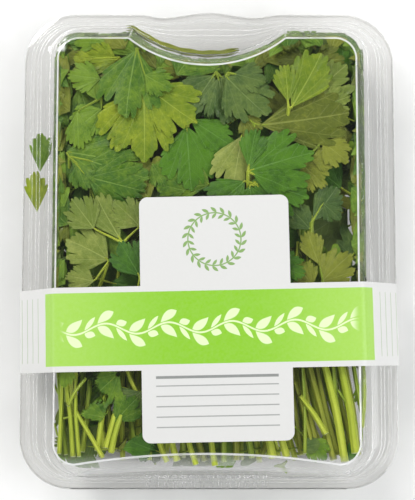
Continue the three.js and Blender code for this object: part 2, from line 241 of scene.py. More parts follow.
def makeLeafFinish(tone):
    dark, light = [linear(code) for code in leafTones[tone]]
    finish = Finish("leaf_" + tone)
    place, _ = objectPlace(finish)
    main, twig, across = veinMasks(finish)
    seed = finish.val("ShaderNodeAttribute", 2, {"attribute_name": "leafSeed"})
    cloud = noiseOf(finish, leafSheen["mottle"], 3.0, place)
    fine = noiseOf(finish, 1500.0, 3.0, place)
    patch = noiseOf(finish, 460.0, 3.0, place)
    share = stepUp(cloud * 0.9 + seed * 0.5 + fine * 0.4 + patch * 0.7 - 0.78, 0.1, 0.85)
    blade = finish.mix(dark, light, share)
    veinColour = tuple(min(1.0, 1.35 * c + 0.07) for c in light[:3]) + (1.0,)
    veins = most(main * leafSheen["veinBright"], twig * leafSheen["twigBright"])
    colour = finish.mix(blade, veinColour, veins)
    glint = stepUp(noiseOf(finish, 420.0, 2.0, place), 0.58, 0.7)
    rough = leafSheen["roughness"] + cloud * 0.18 - glint * 0.2
    relief = fine * 0.45 + cloud * 0.9 - main * 0.6 - twig * 0.35 + stepUp(across, 0.0, 0.09) * 0.35
    bump = finish.node(
        "ShaderNodeBump", None,
        {"Strength": leafSheen["bump"], "Distance": 0.0003, "Height": relief},
    )
    shader = finish.node(
        "ShaderNodeBsdfPrincipled", None,
        {"Base Color": colour, "Roughness": rough, "Normal": bump.outputs[0]},
    )
    shader.inputs["Specular IOR Level"].default_value = 0.4
    return finish.finish(shader.outputs[0])


stemTones = {
    "lime": ("cfdb4c", "b2c636"),
    "mid": ("afc23c", "90ab2c"),
    "olive": ("a0a830", "859024"),
}
stemLook = {"cut": "d9e2ae", "groove": 0.7, "ridges": 5.0}


def makeStemFinish(tone):
    low, high = [linear(code) for code in stemTones[tone]]
    finish = Finish("stem_" + tone)
    place, _ = objectPlace(finish)
    uv = finish.node("ShaderNodeUVMap", {"uv_map": "leafUv"}).outputs[0]
    split = finish.node("ShaderNodeSeparateXYZ", None, {0: uv})
    around, along = [Val(finish, s) for s in split.outputs[:2]]
    seed = finish.val("ShaderNodeAttribute", 2, {"attribute_name": "leafSeed"})
    cloud = noiseOf(finish, 130.0, 4.0, place)
    groove = sinOf(around * (2 * math.pi * stemLook["ridges"]))
    body = finish.mix(low, high, stepUp(along * 0.5 + cloud * 0.8 + seed * 0.5, 0.3, 1.3))
    deep = tuple(c * stemLook["groove"] for c in high[:3]) + (1.0,)
    body = finish.mix(body, deep, (1.0 - stepUp(groove, -1.0, 0.3)) * 0.5)
    colour = finish.mix(linear(stemLook["cut"]), body, stepUp(along + cloud * 0.01, 0.008, 0.02))
    bump = finish.node(
        "ShaderNodeBump", None,
        {"Strength": 0.5, "Distance": 0.0003, "Height": groove + cloud * 0.4},
    )
    shader = finish.node(
        "ShaderNodeBsdfPrincipled", None,
        {"Base Color": colour, "Roughness": 0.36 + cloud * 0.2, "Normal": bump.outputs[0]},
    )
    return finish.finish(shader.outputs[0])


plasticLook = {
    "ior": 1.5,
    "shine": 1.0,
    "innerShine": 0.12,
    "wallMirror": 0.06,
    "bendMirror": 0.3,
    "veil": 0.003,
    "edgeVeil": 0.07,
    "edgeGrey": 0.12,
    "frontWhitening": 0.3,
    # white of the painted highlight on the dome's left back corner
    "cornerPaintedHighlight": 0.8,
    # white of the painted highlights on the top brow bend and on the softer bends
    "browPaintedHighlight": 0.62,
    "softPaintedHighlight": 0.25,
    "roughness": 0.05,
    "clear": (0.974, 0.973, 0.969, 1.0),
    "grey": (0.7, 0.71, 0.7, 1.0),
}
# where the front wall is whitened and the left back corner gets a painted highlight, each from none to full
whitenedPlaces = {
    "frontY": (-94.0, -86.5),
    "frontZ": (24.3, 25.2),
    "cornerLeft": (60.0, 61.5),
    "cornerY": (80.0, 82.5),
    "cornerZ": (29.0, 33.0),
}


def stepUpAt(v, place):
    low, high = whitenedPlaces[place]
    return stepUp(v, low * mm, high * mm)


def makePlasticFinish(name, shine, paintedHighlight=0.0):
    # clear sheet: light goes through, it greys and whitens where it is seen edge on,
    # and it mirrors by its angle; paintedHighlight is a painted highlight, white patches on a sharp bend
    finish = Finish(name)
    place, (x, y, z) = objectPlace(finish)
    ripple = noiseOf(finish, 28.0, 1.0, place)
    bump = finish.node("ShaderNodeBump", None, {"Strength": 0.03, "Distance": 0.001, "Height": ripple})
    facing = finish.val("ShaderNodeLayerWeight", 1, None, {"Blend": 0.5, "Normal": bump.outputs[0]})
    mirror = finish.val("ShaderNodeFresnel", 0, None, {"IOR": plasticLook["ior"], "Normal": bump.outputs[0]})
    mirror = least(mirror, plasticLook["bendMirror" if paintedHighlight else "wallMirror"]) * shine
    clear = finish.node("ShaderNodeBsdfTransparent")
    clear.inputs[0].default_value = plasticLook["clear"]
    grey = finish.node("ShaderNodeBsdfTransparent")
    grey.inputs[0].default_value = plasticLook["grey"]
    glass = finish.node(
        "ShaderNodeMixShader", None,
        {0: facing ** 5.0 * plasticLook["edgeGrey"], 1: clear.outputs[0], 2: grey.outputs[0]},
    )
    body = finish.node(
        "ShaderNodeBsdfPrincipled", None,
        {"Base Color": linear("fbfcfc"), "Roughness": plasticLook["roughness"], "Normal": bump.outputs[0]},
    )
    gloss = finish.node("ShaderNodeBsdfGlossy", None, {"Normal": bump.outputs[0]})
    gloss.inputs["Roughness"].default_value = plasticLook["roughness"]
    gloss.inputs["Color"].default_value = (1.0, 1.0, 1.0, 1.0)
    veil = (facing ** 3.0 * plasticLook["edgeVeil"] + plasticLook["veil"]) * (0.3 + 0.7 * shine)
    # the front wall is made whiter above its foot, by place
    frontWall = (1.0 - stepUpAt(y, "frontY")) * stepUpAt(z, "frontZ")
    # painted highlight: a white patch with torn edges on the left back corner
    corner = stepUpAt(x * -1.0, "cornerLeft") * stepUpAt(y, "cornerY") * stepUpAt(z, "cornerZ")
    torn = stepUp(noiseOf(finish, 240.0, 3.0, place), 0.42, 0.55)
    veil = veil + (frontWall * plasticLook["frontWhitening"] + corner * torn * plasticLook["cornerPaintedHighlight"]) * shine
    # painted highlight: white patches laid on a sharp bend, standing in for a lamp's bright line
    if paintedHighlight:
        patches = noiseOf(finish, 55.0, 2.0, place)
        veil = least(veil + stepUp(patches, 0.0, 0.55) * paintedHighlight, 1.0)
    # the white body shows by the veil: the sheet's milkiness plus the painted highlights and the whitened
    # front wall
    milkAndPaintedWhite = finish.node("ShaderNodeMixShader", None, {0: veil, 1: glass.outputs[0], 2: body.outputs[0]})
    whole = finish.node("ShaderNodeMixShader", None, {0: mirror, 1: milkAndPaintedWhite.outputs[0], 2: gloss.outputs[0]})
    return finish.finish(whole.outputs[0])


def makeFloorFinish():
    finish = Finish("pale_floor")
    place, _ = objectPlace(finish)
    grain = noiseOf(finish, 60.0, 2.0, place)
    colour = finish.mix(linear("f2f2f1"), linear("fafafa"), grain)
    shader = finish.node("ShaderNodeBsdfPrincipled", None, {"Base Color": colour, "Roughness": 0.9})
    return finish.finish(shader.outputs[0])


# meshes

def gridPatch(bm, columns, rows):
    # a flat grid, and each point's row and column
    made = bmesh.ops.create_grid(bm, x_segments=columns, y_segments=rows, size=1.0)["verts"]
    return {v: (round((v.co.y + 1) / 2 * rows), round((v.co.x + 1) / 2 * columns)) for v in made}


def facesOf(verts):
    return list({face for vert in verts for face in vert.link_faces})


def meshPiece(name, bm, materials, body, nodes=()):
    mesh = bpy.data.meshes.new(name)
    bm.to_mesh(mesh)
    bm.free()
    for material in materials:
        mesh.materials.append(material)
    piece = bpy.data.objects.new(name, mesh)
    bpy.context.scene.collection.objects.link(piece)
    if body:
        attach(piece, body)
    if nodes:
        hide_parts(*nodes)
    return piece


def creaseSharp(bm, turn):
    for edge in bm.edges:
        if len(edge.link_faces) == 2 and edge.calc_face_angle(0) > math.radians(turn):
            edge.smooth = False


# formed plastic

packShape = {
    "half": 80.0,
    "back": 101.6,
    "front": -102.5,
    "radius": 22.0,
    "scallopHalf": 33.0,
    "scallopDepth": 11.5,
    "corner": 12,
    "backSteps": 44,
    "frontSteps": 20,
    "sheet": 0.5,
    "lidTop": 38.0,
    "bendTurn": 24,  # creases sharper than this many degrees are rounded
    "bendRound": 0.35,
    "browRound": 0.6,
}
tabShape = {"reach": 29, "flat": 21, "dip": 1.3, "out": 2.2}


def scallopAt(x):
    # how far the thumb scallop cuts in, from 0 to 1
    half, depth = packShape["scallopHalf"], packShape["scallopDepth"]
    if abs(x) >= half:
        return 0.0
    r = (half**2 + depth**2) / (2 * depth)
    return 1 - (r - math.sqrt(r * r - x * x)) / depth


def tabAt(x):
    # the thumb tab stands out a little between two dips
    t = tabShape
    across = abs(x)
    if across >= t["reach"]:
        return 0.0
    if across > t["flat"]:
        return -t["dip"] * (t["reach"] - across) / (t["reach"] - t["flat"])
    return -t["dip"] + t["out"] * math.cos(math.pi * across / (2 * t["flat"])) ** 2


def outline(half, back, front, radius, scallop=0.0, bow=0.0, tab=0.0):
    # one closed outline of the pack, counterclockwise, always with the same number of points
    points = []

    def corner(cx, cy, start):
        for i in range(packShape["corner"] + 1):
            a = start + i / packShape["corner"] * math.pi / 2
            points.append((cx + radius * math.cos(a), cy + radius * math.sin(a)))

    flat = half - radius
    corner(flat, front + radius, -math.pi / 2)
    corner(flat, back - radius, 0)
    for i in range(packShape["backSteps"] + 1):
        x = packShape["scallopHalf"] * (1 - 2 * i / packShape["backSteps"])
        points.append((x, back - scallop * scallopAt(x) + tab * tabAt(x)))
    corner(-flat, back - radius, math.pi / 2)
    corner(-flat, front + radius, math.pi)
    for i in range(1, packShape["frontSteps"]):
        x = flat * (2 * i / packShape["frontSteps"] - 1)
        points.append((x, front + bow * (1 - (x / flat) ** 2)))
    return points


def flangeRing(inset, tab):
    half, back, front, radius = (packShape[key] for key in ("half", "back", "front", "radius"))
    return outline(half - inset, back - inset, front + inset, radius - inset, tab=tab)


def wallRing(half, back, front, radius, bow=0.0, aside=0.0):
    ring = outline(half, back, front, radius, scallop=packShape["scallopDepth"], bow=bow)
    return [(x + aside, y) for x, y in ring]


def between(low, high, share):
    return [(a[0] + (b[0] - a[0]) * share, a[1] + (b[1] - a[1]) * share) for a, b in zip(low, high)]


def shellPiece(name, rings, body, nodes):
    # a sheet through the rings, closed at its last one, with its creases rounded
    bm = bmesh.new()
    count = len(rings[0][0])
    spots = gridPatch(bm, count, len(rings) - 1)
    for vert, (row, column) in spots.items():
        x, y = rings[row][0][column % count]
        vert.co = Vector((x, y, rings[row][1])) * mm
    last = [v for v, (row, column) in spots.items() if row == len(rings) - 1]
    seam = [v for v, (row, column) in spots.items() if column in (0, count)]
    ends = sorted({spots[v][1]: v for v in last}.items())
    bmesh.ops.remove_doubles(bm, verts=seam, dist=1e-6)
    rim = [v for _, v in ends if v.is_valid]
    cap = bmesh.ops.contextual_create(bm, geom=rim)["faces"]
    bmesh.ops.recalc_face_normals(bm, faces=bm.faces)
    if cap[0].normal.z < 0:
        bmesh.ops.reverse_faces(bm, faces=bm.faces)
    brow = packShape["lidTop"] - 0.1
    turn = math.radians(packShape["bendTurn"])
    for high in (True, False):
        sharp = [
            e for e in bm.edges
            if len(e.link_faces) == 2 and e.calc_face_angle(0) > turn
            and (e.verts[0].co.z > brow * mm) == high
        ]
        if not sharp:
            continue
        rounding = packShape["browRound" if high else "bendRound"] * mm
        bent = bmesh.ops.bevel(
            bm, geom=sharp, offset=rounding, offset_type="OFFSET", segments=3,
            profile=0.5, affect="EDGES", clamp_overlap=True, material=-1,
        )["faces"]
        for face in bent:
            face.material_index = 2 if high else 4
    for face in bm.faces:
        face.smooth = True
    creaseSharp(bm, 35)
    for face in bm.faces:
        if len(face.verts) > 8:
            face.smooth = False
    # each outer finish is followed by the one that the sheet's inner face takes
    finishes = [clearOuter, clearInner, browBend, clearInner, softBend, clearInner]
    piece = meshPiece(name, bm, finishes, body, nodes)
    wall = piece.modifiers.new("wall", "SOLIDIFY")
    wall.thickness = packShape["sheet"] * mm
    wall.offset = -1.0
    wall.material_offset = 1


clearOuter = makePlasticFinish("clear_outer", plasticLook["shine"])
clearInner = makePlasticFinish("clear_inner", plasticLook["innerShine"])
browBend = makePlasticFinish("clear_brow_bend", plasticLook["shine"], plasticLook["browPaintedHighlight"])
softBend = makePlasticFinish("clear_soft_bend", plasticLook["shine"], plasticLook["softPaintedHighlight"])
domeFoot = wallRing(68.0, 94.0, -96.5, 14.0, 2.0)
domeEdge = wallRing(63.0, 86.7, -91.4, 9.0, 4.4, -0.8)
ledgeOut = flangeRing(4.4, 0.6)
lidRings = [
    (flangeRing(0.0, 1.0), 20.2),
    (flangeRing(0.0, 1.0), 20.75),
    (flangeRing(3.0, 0.85), 20.75),
    (flangeRing(4.2, 0.75), 22.6),
    (between(ledgeOut, domeFoot, 0.22), 22.6),
    (between(ledgeOut, domeFoot, 0.42), 24.0),
    (between(ledgeOut, domeFoot, 0.8), 24.0),
    (domeFoot, 24.6),
    (between(domeFoot, domeEdge, 0.5), 31.4),
    (domeEdge, packShape["lidTop"]),
]
shellPiece("lid_shell", lidRings, "lid_and_label", ["lid"])
trayShoulder = flangeRing(4.4, 0.6)
trayMouth = wallRing(66.0, 95.4, -97.4, 15.4)
trayRings = [
    (flangeRing(0.0, 1.0), 17.45),
    (flangeRing(0.0, 1.0), 19.85),
    (flangeRing(3.4, 0.8), 19.85),
    (flangeRing(4.2, 0.7), 19.0),
    (between(trayShoulder, trayMouth, 0.5), 19.0),
    (between(trayShoulder, trayMouth, 0.62), 19.85),
    (trayMouth, 19.85),
    (wallRing(62.6, 92.0, -94.5, 13.9), 10.5),
    (wallRing(59.4, 88.9, -91.9, 12.4), 1.4),
    (wallRing(58.0, 87.5, -90.5, 11.5), 0.5),
]
shellPiece("tray_shell", trayRings, "tray_and_parsley", ["tray"])


hingeShape = {
    "half": 58.0,
    "profile": (
        (-102.2, 18.9), (-102.7, 19.2), (-103.0, 19.7),
        (-103.0, 20.2), (-102.7, 20.6), (-102.2, 20.75),
    ),
    "axle": -102.8,
    "bendFrom": 19.6,
    "bendTo": 20.4,
    "thick": 0.25,
    "columns": 40,
}


def makeHingeStrip():
    # the strip of plastic that bends when the lid opens
    h = hingeShape
    low, high = [(0, h["axle"] * mm, h[key] * mm) for key in ("bendFrom", "bendTo")]
    bm = bmesh.new()
    for vert, (row, column) in gridPatch(bm, h["columns"], len(h["profile"]) - 1).items():
        y, z = h["profile"][row]
        vert.co = Vector((h["half"] * (2 * column / h["columns"] - 1), y, z)) * mm
    bmesh.ops.recalc_face_normals(bm, faces=bm.faces)
    bmesh.ops.solidify(bm, geom=bm.faces[:], thickness=h["thick"] * mm)
    strip = meshPiece("hinge_strip", bm, [clearInner], None)
    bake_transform(strip, "tray_and_parsley", "lid_and_label", low, high)


embossShape = {
    "from": -25.5,
    "pitch": 3.75,
    "count": 14,
    "bump": (1.55, 0.95, 0.55),
    "bumpAt": (-96.9, 24.0),
    "rib": (0.22, 1.5, 0.3),
    "ribAt": (-100.2, 20.8),
    "ribAsides": (-0.6, 0.7),
}


def makeEmboss():
    # a row of low bumps on the lid's ledge over the hinge, and short ribs on its flange
    e = embossShape
    bm = bmesh.new()
    for n in range(e["count"]):
        x = e["from"] + e["pitch"] * n
        bump = bmesh.ops.create_uvsphere(bm, u_segments=16, v_segments=8, radius=1.0)["verts"]
        bmesh.ops.scale(bm, verts=bump, vec=[c * mm for c in e["bump"]])
        bmesh.ops.translate(bm, verts=bump, vec=Vector((x, *e["bumpAt"])) * mm)
        for aside in e["ribAsides"]:
            rib = bmesh.ops.create_uvsphere(bm, u_segments=10, v_segments=6, radius=1.0)["verts"]
            bmesh.ops.scale(bm, verts=rib, vec=[c * mm for c in e["rib"]])
            bmesh.ops.translate(bm, verts=rib, vec=Vector((x + aside, *e["ribAt"])) * mm)
    for face in bm.faces:
        face.smooth = True
    meshPiece("hinge_emboss", bm, [softBend], "lid_and_label")


makeHingeStrip()
makeEmboss()
print("formed plastic made")


# parsley leaves and stems

leafShape = {
    "spreads": {"fan": 56, "cleft": 48, "oblong": 33, "slim": 27},  # degrees each side of the midrib
    "thick": 0.3,
    "rows": 12,
    "gap": 0.2,
    "lidUnder": 37.0,  # leaves stay below the lid's inner face
    "topLevel": 36.0,
    "levelStep": 1.35,
    "rise": 0.02,  # the rest are shares of a leaflet's length
    "swerve": 0.06,
    "droop": 0.1,
    "cup": (-0.05, 0.06),
    "lobeLift": 0.03,
    "ripple": 0.018,
    "quilt": 0.06,
}
# half an edge from the shoulder to the tip, by share of the spread and reach: notch, tooth, notch and so on
leafEdges = {
    "fan": ((1.0, 0.34), (0.93, 0.58), (0.88, 0.55), (0.79, 0.71), (0.74, 0.68), (0.69, 0.72), (0.64, 0.58),
            (0.56, 0.81), (0.51, 0.78), (0.43, 0.9), (0.38, 0.86), (0.35, 0.87), (0.3, 0.64),
            (0.23, 0.87), (0.18, 0.84), (0.1, 0.97), (0.055, 0.94), (0.0, 1.0)),
    "cleft": ((1.0, 0.4), (0.93, 0.6), (0.87, 0.58), (0.78, 0.76), (0.72, 0.74), (0.62, 0.86),
              (0.54, 0.79), (0.45, 0.89), (0.33, 0.64), (0.25, 0.88), (0.19, 0.85), (0.11, 0.96),
              (0.06, 0.93), (0.0, 1.0)),
    "oblong": ((1.0, 0.5), (0.88, 0.7), (0.8, 0.67), (0.66, 0.84), (0.56, 0.78), (0.42, 0.93), (0.3, 0.84),
               (0.18, 0.97), (0.09, 0.93), (0.0, 1.0)),
    "slim": ((1.0, 0.55), (0.85, 0.74), (0.72, 0.66), (0.5, 0.9), (0.34, 0.84), (0.14, 0.98),
             (0.07, 0.95), (0.0, 1.0)),
    "plain": ((1.0, 0.4), (0.84, 0.74), (0.67, 0.62), (0.47, 0.89), (0.3, 0.63), (0.14, 0.94), (0.0, 0.99)),
}


def halfEdge(form, roll):
    # the points of one side, a little different on every leaflet
    marks = []
    for n, (share, reach) in enumerate(leafEdges[form]):
        fixed = n == 0 or share == 0.0
        marks.append((
            share if fixed else share + roll.uniform(-0.014, 0.014),
            reach * (1.0 if share == 0.0 else 1 + roll.uniform(-0.05, 0.05)),
        ))
    points = []
    for n in range(len(marks) - 1):
        notch, tooth = (marks[n], marks[n + 1]) if n % 2 == 0 else (marks[n + 1], marks[n])
        steps = 3 if abs(notch[1] - tooth[1]) > 0.12 else 2
        for k in range(steps):
            share = marks[n][0] + (marks[n + 1][0] - marks[n][0]) * k / steps
            t = abs((share - tooth[0]) / (notch[0] - tooth[0]))
            points.append((share, tooth[1] - (tooth[1] - notch[1]) * t**2.6))
    return points


def innerWall(z):
    # the pack's inner half width, back and front at a height
    if z < 20:
        t = max(0.0, z - 1.5) / 18.5
        return 59.3 + 6.5 * t, 88.8 + 6.4 * t, -91.8 - 5.4 * t
    if z < 24:
        return 67.4, 93.4, -95.9
    t = (z - 24) / 14
    return 67.2 - 6.0 * t, 93.2 - 7.3 * t, -95.6 + 4.8 * t


def keepInside(x, y, z, margin, radius=11.0):
    half, back, front = innerWall(z)
    back -= packShape["scallopDepth"] * scallopAt(x)
    x = max(-half + margin, min(half - margin, x))
    y = max(front + margin, min(back - margin, y))
    overX = abs(x) - (half - radius)
    end = back if y > 0 else front
    overY = abs(y) - (abs(end) - radius)
    if overX > 0 and overY > 0 and math.hypot(overX, overY) > radius - margin:
        k = (radius - margin) / math.hypot(overX, overY)
        x = math.copysign(half - radius + overX * k, x)
        y = math.copysign(abs(end) - radius + overY * k, y)
    return x, y


reliefGrid = {"cell": 0.8, "left": 76, "front": 104, "rows": 262, "columns": 192, "floor": 1.2}


def gridMiddle(g, a, b):
    # points inside each cell of a grid, by their shares of its two sides
    low = g[:-1, :-1] * (1 - a) + g[1:, :-1] * a
    high = g[:-1, 1:] * (1 - a) + g[1:, 1:] * a
    return low * (1 - b) + high * b


class Relief:
    # how high the leaves laid so far reach, on a fine grid over the tray
    def __init__(self):
        self.high = np.full((reliefGrid["rows"], reliefGrid["columns"]), reliefGrid["floor"])

    def index(self, x, y):
        j = ((x + reliefGrid["left"]) / reliefGrid["cell"]).astype(int)
        i = ((y + reliefGrid["front"]) / reliefGrid["cell"]).astype(int)
        return np.clip(i, 1, reliefGrid["rows"] - 2), np.clip(j, 1, reliefGrid["columns"] - 2)

    def under(self, x, y):
        i, j = self.index(x, y)
        found = self.high[i, j]
        for di, dj in ((0, 1), (1, 0), (0, -1), (-1, 0)):
            found = np.maximum(found, self.high[i + di, j + dj])
        return found

    def lay(self, x, y, z):
        # marks a grid of points, and points between them
        for a in np.linspace(0, 1, 4):
            for b in np.linspace(0, 1, 4):
                i, j = self.index(gridMiddle(x, a, b), gridMiddle(y, a, b))
                np.maximum.at(self.high, (i, j), gridMiddle(z, a, b))


relief = Relief()


def layLeaflet(leaflet, level, roll, plain=False, margin=1.1):
    # a leaflet's grid of points in millimetres, draped over what lies under it;
    # a margin keeps it off the walls
    x0, y0, heading, length, form = leaflet
    edge = "plain" if plain else form
    right = halfEdge(edge, roll)
    left = halfEdge(edge, roll)
    rim = right + [(0.0, 1.0)] + [(-share, reach) for share, reach in reversed(left)]
    share, rimReach = np.array(rim).T
    rows = 6 if plain else leafShape["rows"]
    spread = math.radians(leafShape["spreads"][form])
    s, t = np.meshgrid(share, np.linspace(0, 1, rows + 1) ** 0.85)
    reach = t * rimReach[None, :]
    swerve = roll.uniform(-leafShape["swerve"], leafShape["swerve"])
    angle = math.radians(heading) + s * spread + swerve * reach**2
    x = x0 + length * reach * np.cos(angle)
    y = y0 + length * reach * np.sin(angle)
    droop = roll.uniform(0.0, leafShape["droop"])
    cup = roll.uniform(*leafShape["cup"])
    phase = roll.uniform(0, 6.28)
    side = np.abs(s)
    outerLobe = np.where(side < lobeBounds[1], leafLobes[1], leafLobes[2])
    lobe = np.where(side < lobeBounds[0], leafLobes[0], outerLobe)
    offVein = reach * np.abs(np.sin((side - lobe) * spread))
    lifts = [roll.uniform(-leafShape["lobeLift"], leafShape["lobeLift"]) for _ in range(5)]
    which = np.rint(lobe / 0.42) * np.sign(s) + 2
    lift = np.choose(which.astype(int), lifts) * np.clip((reach - 0.4) / 0.6, 0, 1)
    z = level + length * (
        leafShape["rise"] * reach
        - droop * reach**2
        - cup * side**1.5 * reach
        + leafShape["ripple"] * np.sin(7.0 * s + phase) * reach**2
        + leafShape["quilt"] * np.minimum(offVein, 0.1) * reach
        + lift
    )
    floor = relief.under(x, y) + leafShape["gap"]
    raised = np.maximum(z, floor)
    for _ in range(3):
        calm = raised.copy()
        beside = raised[:-2, 1:-1] + raised[2:, 1:-1] + raised[1:-1, :-2] + raised[1:-1, 2:]
        calm[1:-1, 1:-1] = (raised[1:-1, 1:-1] * 2 + beside) / 6
        raised = np.maximum(calm, floor - 0.1)
    raised[0, :] = raised[0, :].mean()
    z = np.minimum(raised, leafShape["lidUnder"])
    if margin is not None:
        for i, j in np.ndindex(x.shape):
            x[i, j], y[i, j] = keepInside(x[i, j], y[i, j], z[i, j], margin)
    relief.lay(x, y, z)
    return {"x": x, "y": y, "z": z, "share": s, "reach": reach, "spread": spread}


def addLeaflet(bm, grid, seed, layers):
    uvLayer, seedLayer, spreadLayer = layers
    rows, columns = grid["x"].shape
    spots = gridPatch(bm, columns - 1, rows - 1)
    for vert, at in spots.items():
        vert.co = Vector((grid["x"][at], grid["y"][at], grid["z"][at])) * mm
        vert[seedLayer] = seed
        vert[spreadLayer] = grid["spread"]
    faces = facesOf(spots)
    for face in faces:
        face.smooth = True
        for loop in face.loops:
            at = spots[loop.vert]
            loop[uvLayer].uv = (grid["share"][at] * 0.5 + 0.5, grid["reach"][at])
    bmesh.ops.remove_doubles(bm, verts=[v for v, (row, _) in spots.items() if row == 0], dist=1e-6)


def addTube(bm, points, radii, seed, layers, sides=8, ridged=0.0, whole=True):
    # a grid wrapped round a path, closed at both ends; along runs 0 to 1 from a cut end
    uvLayer, seedLayer, _ = layers
    rows = len(points) - 1
    spots = gridPatch(bm, sides, rows)
    for vert, (row, column) in spots.items():
        ahead = (points[min(row + 1, rows)] - points[max(row - 1, 0)]).normalized()
        side = ahead.cross(Vector((0, 0, 1)))
        side = side.normalized() if side.length > 1e-3 else Vector((1, 0, 0))
        up = side.cross(ahead)
        a = 2 * math.pi * column / sides
        r = radii[row] * (1 + ridged * (-1) ** (column % 2))
        vert.co = (points[row] + side * (r * math.cos(a)) + up * (r * math.sin(a))) * mm
        vert[seedLayer] = seed
    for face in facesOf(spots):
        face.smooth = True
        face.material_index = 1
        for loop in face.loops:
            row, column = spots[loop.vert]
            loop[uvLayer].uv = (column / sides, row / rows if whole else 0.5 + 0.5 * row / rows)
    ends = [[v for v, (row, _) in spots.items() if row == end] for end in (0, rows)]
    doubles = [v for v, (_, column) in spots.items() if column in (0, sides)]
    bmesh.ops.remove_doubles(bm, verts=doubles, dist=1e-6)
    for ring in ends:
        ring = sorted((v for v in ring if v.is_valid), key=lambda v: spots[v][1])
        for face in bmesh.ops.contextual_create(bm, geom=ring)["faces"]:
            face.material_index = 1
            for loop in face.loops:
                loop[uvLayer].uv = (0.5, 0.0 if whole and ring[0].co.y < -0.07 else 0.9)


def smoothPath(points, count):
    # evenly spaced points on a smooth curve through a few
    pts = [Vector(p) for p in points]
    pts = [pts[0] * 2 - pts[1]] + pts + [pts[-1] * 2 - pts[-2]]
    fine = []
    for k in range(1, len(pts) - 2):
        a, b, c, d = pts[k - 1 : k + 3]
        for step in range(12):
            t = step / 12
            curve = 2 * b + (c - a) * t + (2 * a - 5 * b + 4 * c - d) * t**2
            fine.append(0.5 * (curve + (3 * b - a - 3 * c + d) * t**3))
    fine.append(pts[-2])
    gone = [0.0]
    for a, b in zip(fine, fine[1:]):
        gone.append(gone[-1] + (b - a).length)
    found = []
    k = 0
    for n in range(count + 1):
        want = gone[-1] * n / count
        while k < len(fine) - 2 and gone[k + 1] < want:
            k += 1
        share = (want - gone[k]) / max(1e-9, gone[k + 1] - gone[k])
        found.append(fine[k].lerp(fine[k + 1], min(1.0, share)))
    return found, gone[-1]


def smoothShare(x, low, high):
    t = max(0.0, min(1.0, (x - low) / (high - low)))
    return t * t * (3 - 2 * t)


stemShape = {
    "rows": {"upper": 26.0, "lower": 20.5},
    "bendAt": -48.0,
    "lean": 0.28,
    "leanFrom": 8.0,
    "leanFull": 38.0,
    "rise": 18.0,
    "steps": 26,
    "thinFrom": 14,
    "thinBy": 0.35,
}


def stemPoints(sprig, level):
    (rx, ry), (nx, ny) = sprig["root"], sprig["node"]
    low = stemShape["rows"].get(sprig["row"], sprig["row"])
    bendY = min(stemShape["bendAt"], (ry + ny) / 2)
    slant = stemShape["lean"] * smoothShare(rx, stemShape["leanFrom"], stemShape["leanFull"])
    bendX = rx - slant * (bendY - ry)
    plan, length = smoothPath([(rx, ry, 0), (bendX, bendY, 0), (nx, ny, 0)], stemShape["steps"])
    climbFrom = 1 - min(0.6, stemShape["rise"] / length)
    for k, p in enumerate(plan):
        p.z = low + (level - low) * smoothShare(k / stemShape["steps"], climbFrom, 1)
    return plan


def newHerb():
    bm = bmesh.new()
    floats = bm.verts.layers.float
    return bm, (bm.loops.layers.uv.new("leafUv"), floats.new("leafSeed"), floats.new("leafSpread"))


def finishHerb(bm, name, tone, nodes=()):
    # blades get their thickness, stems are closed already
    blades = [f for f in bm.faces if f.material_index == 0]
    drawn = bmesh.ops.extrude_face_region(bm, geom=blades, use_keep_orig=True)["geom"]
    raised = [g for g in drawn if isinstance(g, bmesh.types.BMVert)]
    bmesh.ops.translate(bm, verts=raised, vec=(0, 0, leafShape["thick"] * mm))
    bmesh.ops.recalc_face_normals(bm, faces=bm.faces)
    creaseSharp(bm, 62)
    stem = stemFinishes["lime" if tone in ("lime", "pale", "bright") else "mid"]
    slot = "leaf_dull" if tone == "deep" else "leaf_" + tone
    meshPiece(name, bm, [leafFinishes[tone], stem], "tray_and_parsley", nodes)


def addStalk(bm, node, grid, radius, seed, layers):
    # from the node to the leaflet's foot, and on under its midrib
    middle = grid["x"].shape[1] // 2

    def spot(row):
        return Vector([float(grid[axis][row, middle]) for axis in "xyz"])

    foot = spot(0)
    inside = [spot(row) - Vector((0, 0, 0.25)) for row in (2, 4)]
    start = Vector(node)
    lead = [start, foot] if (foot - start).length < 0.8 else [start, start.lerp(foot, 0.5), foot]
    points, _ = smoothPath(lead + inside, 7)
    radii = [radius * (1 - 0.6 * k / 7) for k in range(8)]
    addTube(bm, points, radii, seed, layers, sides=6, whole=False)


def makeSprig(name, sprig, level, seed, plain=False):
    roll = random.Random(seed)
    bm, layers = newHerb()
    node = (*sprig["node"], level)
    shade = roll.random()
    for leaflet in sprig["leaves"]:
        grid = layLeaflet(leaflet, level, roll, plain)
        tint = min(1.0, max(0.0, shade + roll.uniform(-0.2, 0.2)))
        addLeaflet(bm, grid, tint, layers)
        addStalk(bm, node, grid, 0.6, tint, layers)
    points = stemPoints(sprig, level)
    thinning = [smoothShare(k, stemShape["thinFrom"], stemShape["steps"]) for k in range(len(points))]
    radii = [sprig["radius"] * (1.0 - stemShape["thinBy"] * share) for share in thinning]
    addTube(bm, points, radii, shade, layers, sides=10, ridged=0.05)
    finishHerb(bm, name, sprig["tone"], [name.replace("_leaves", "")])


leafFinishes = {tone: makeLeafFinish(tone) for tone in leafTones}
stemFinishes = {tone: makeStemFinish(tone) for tone in stemTones}

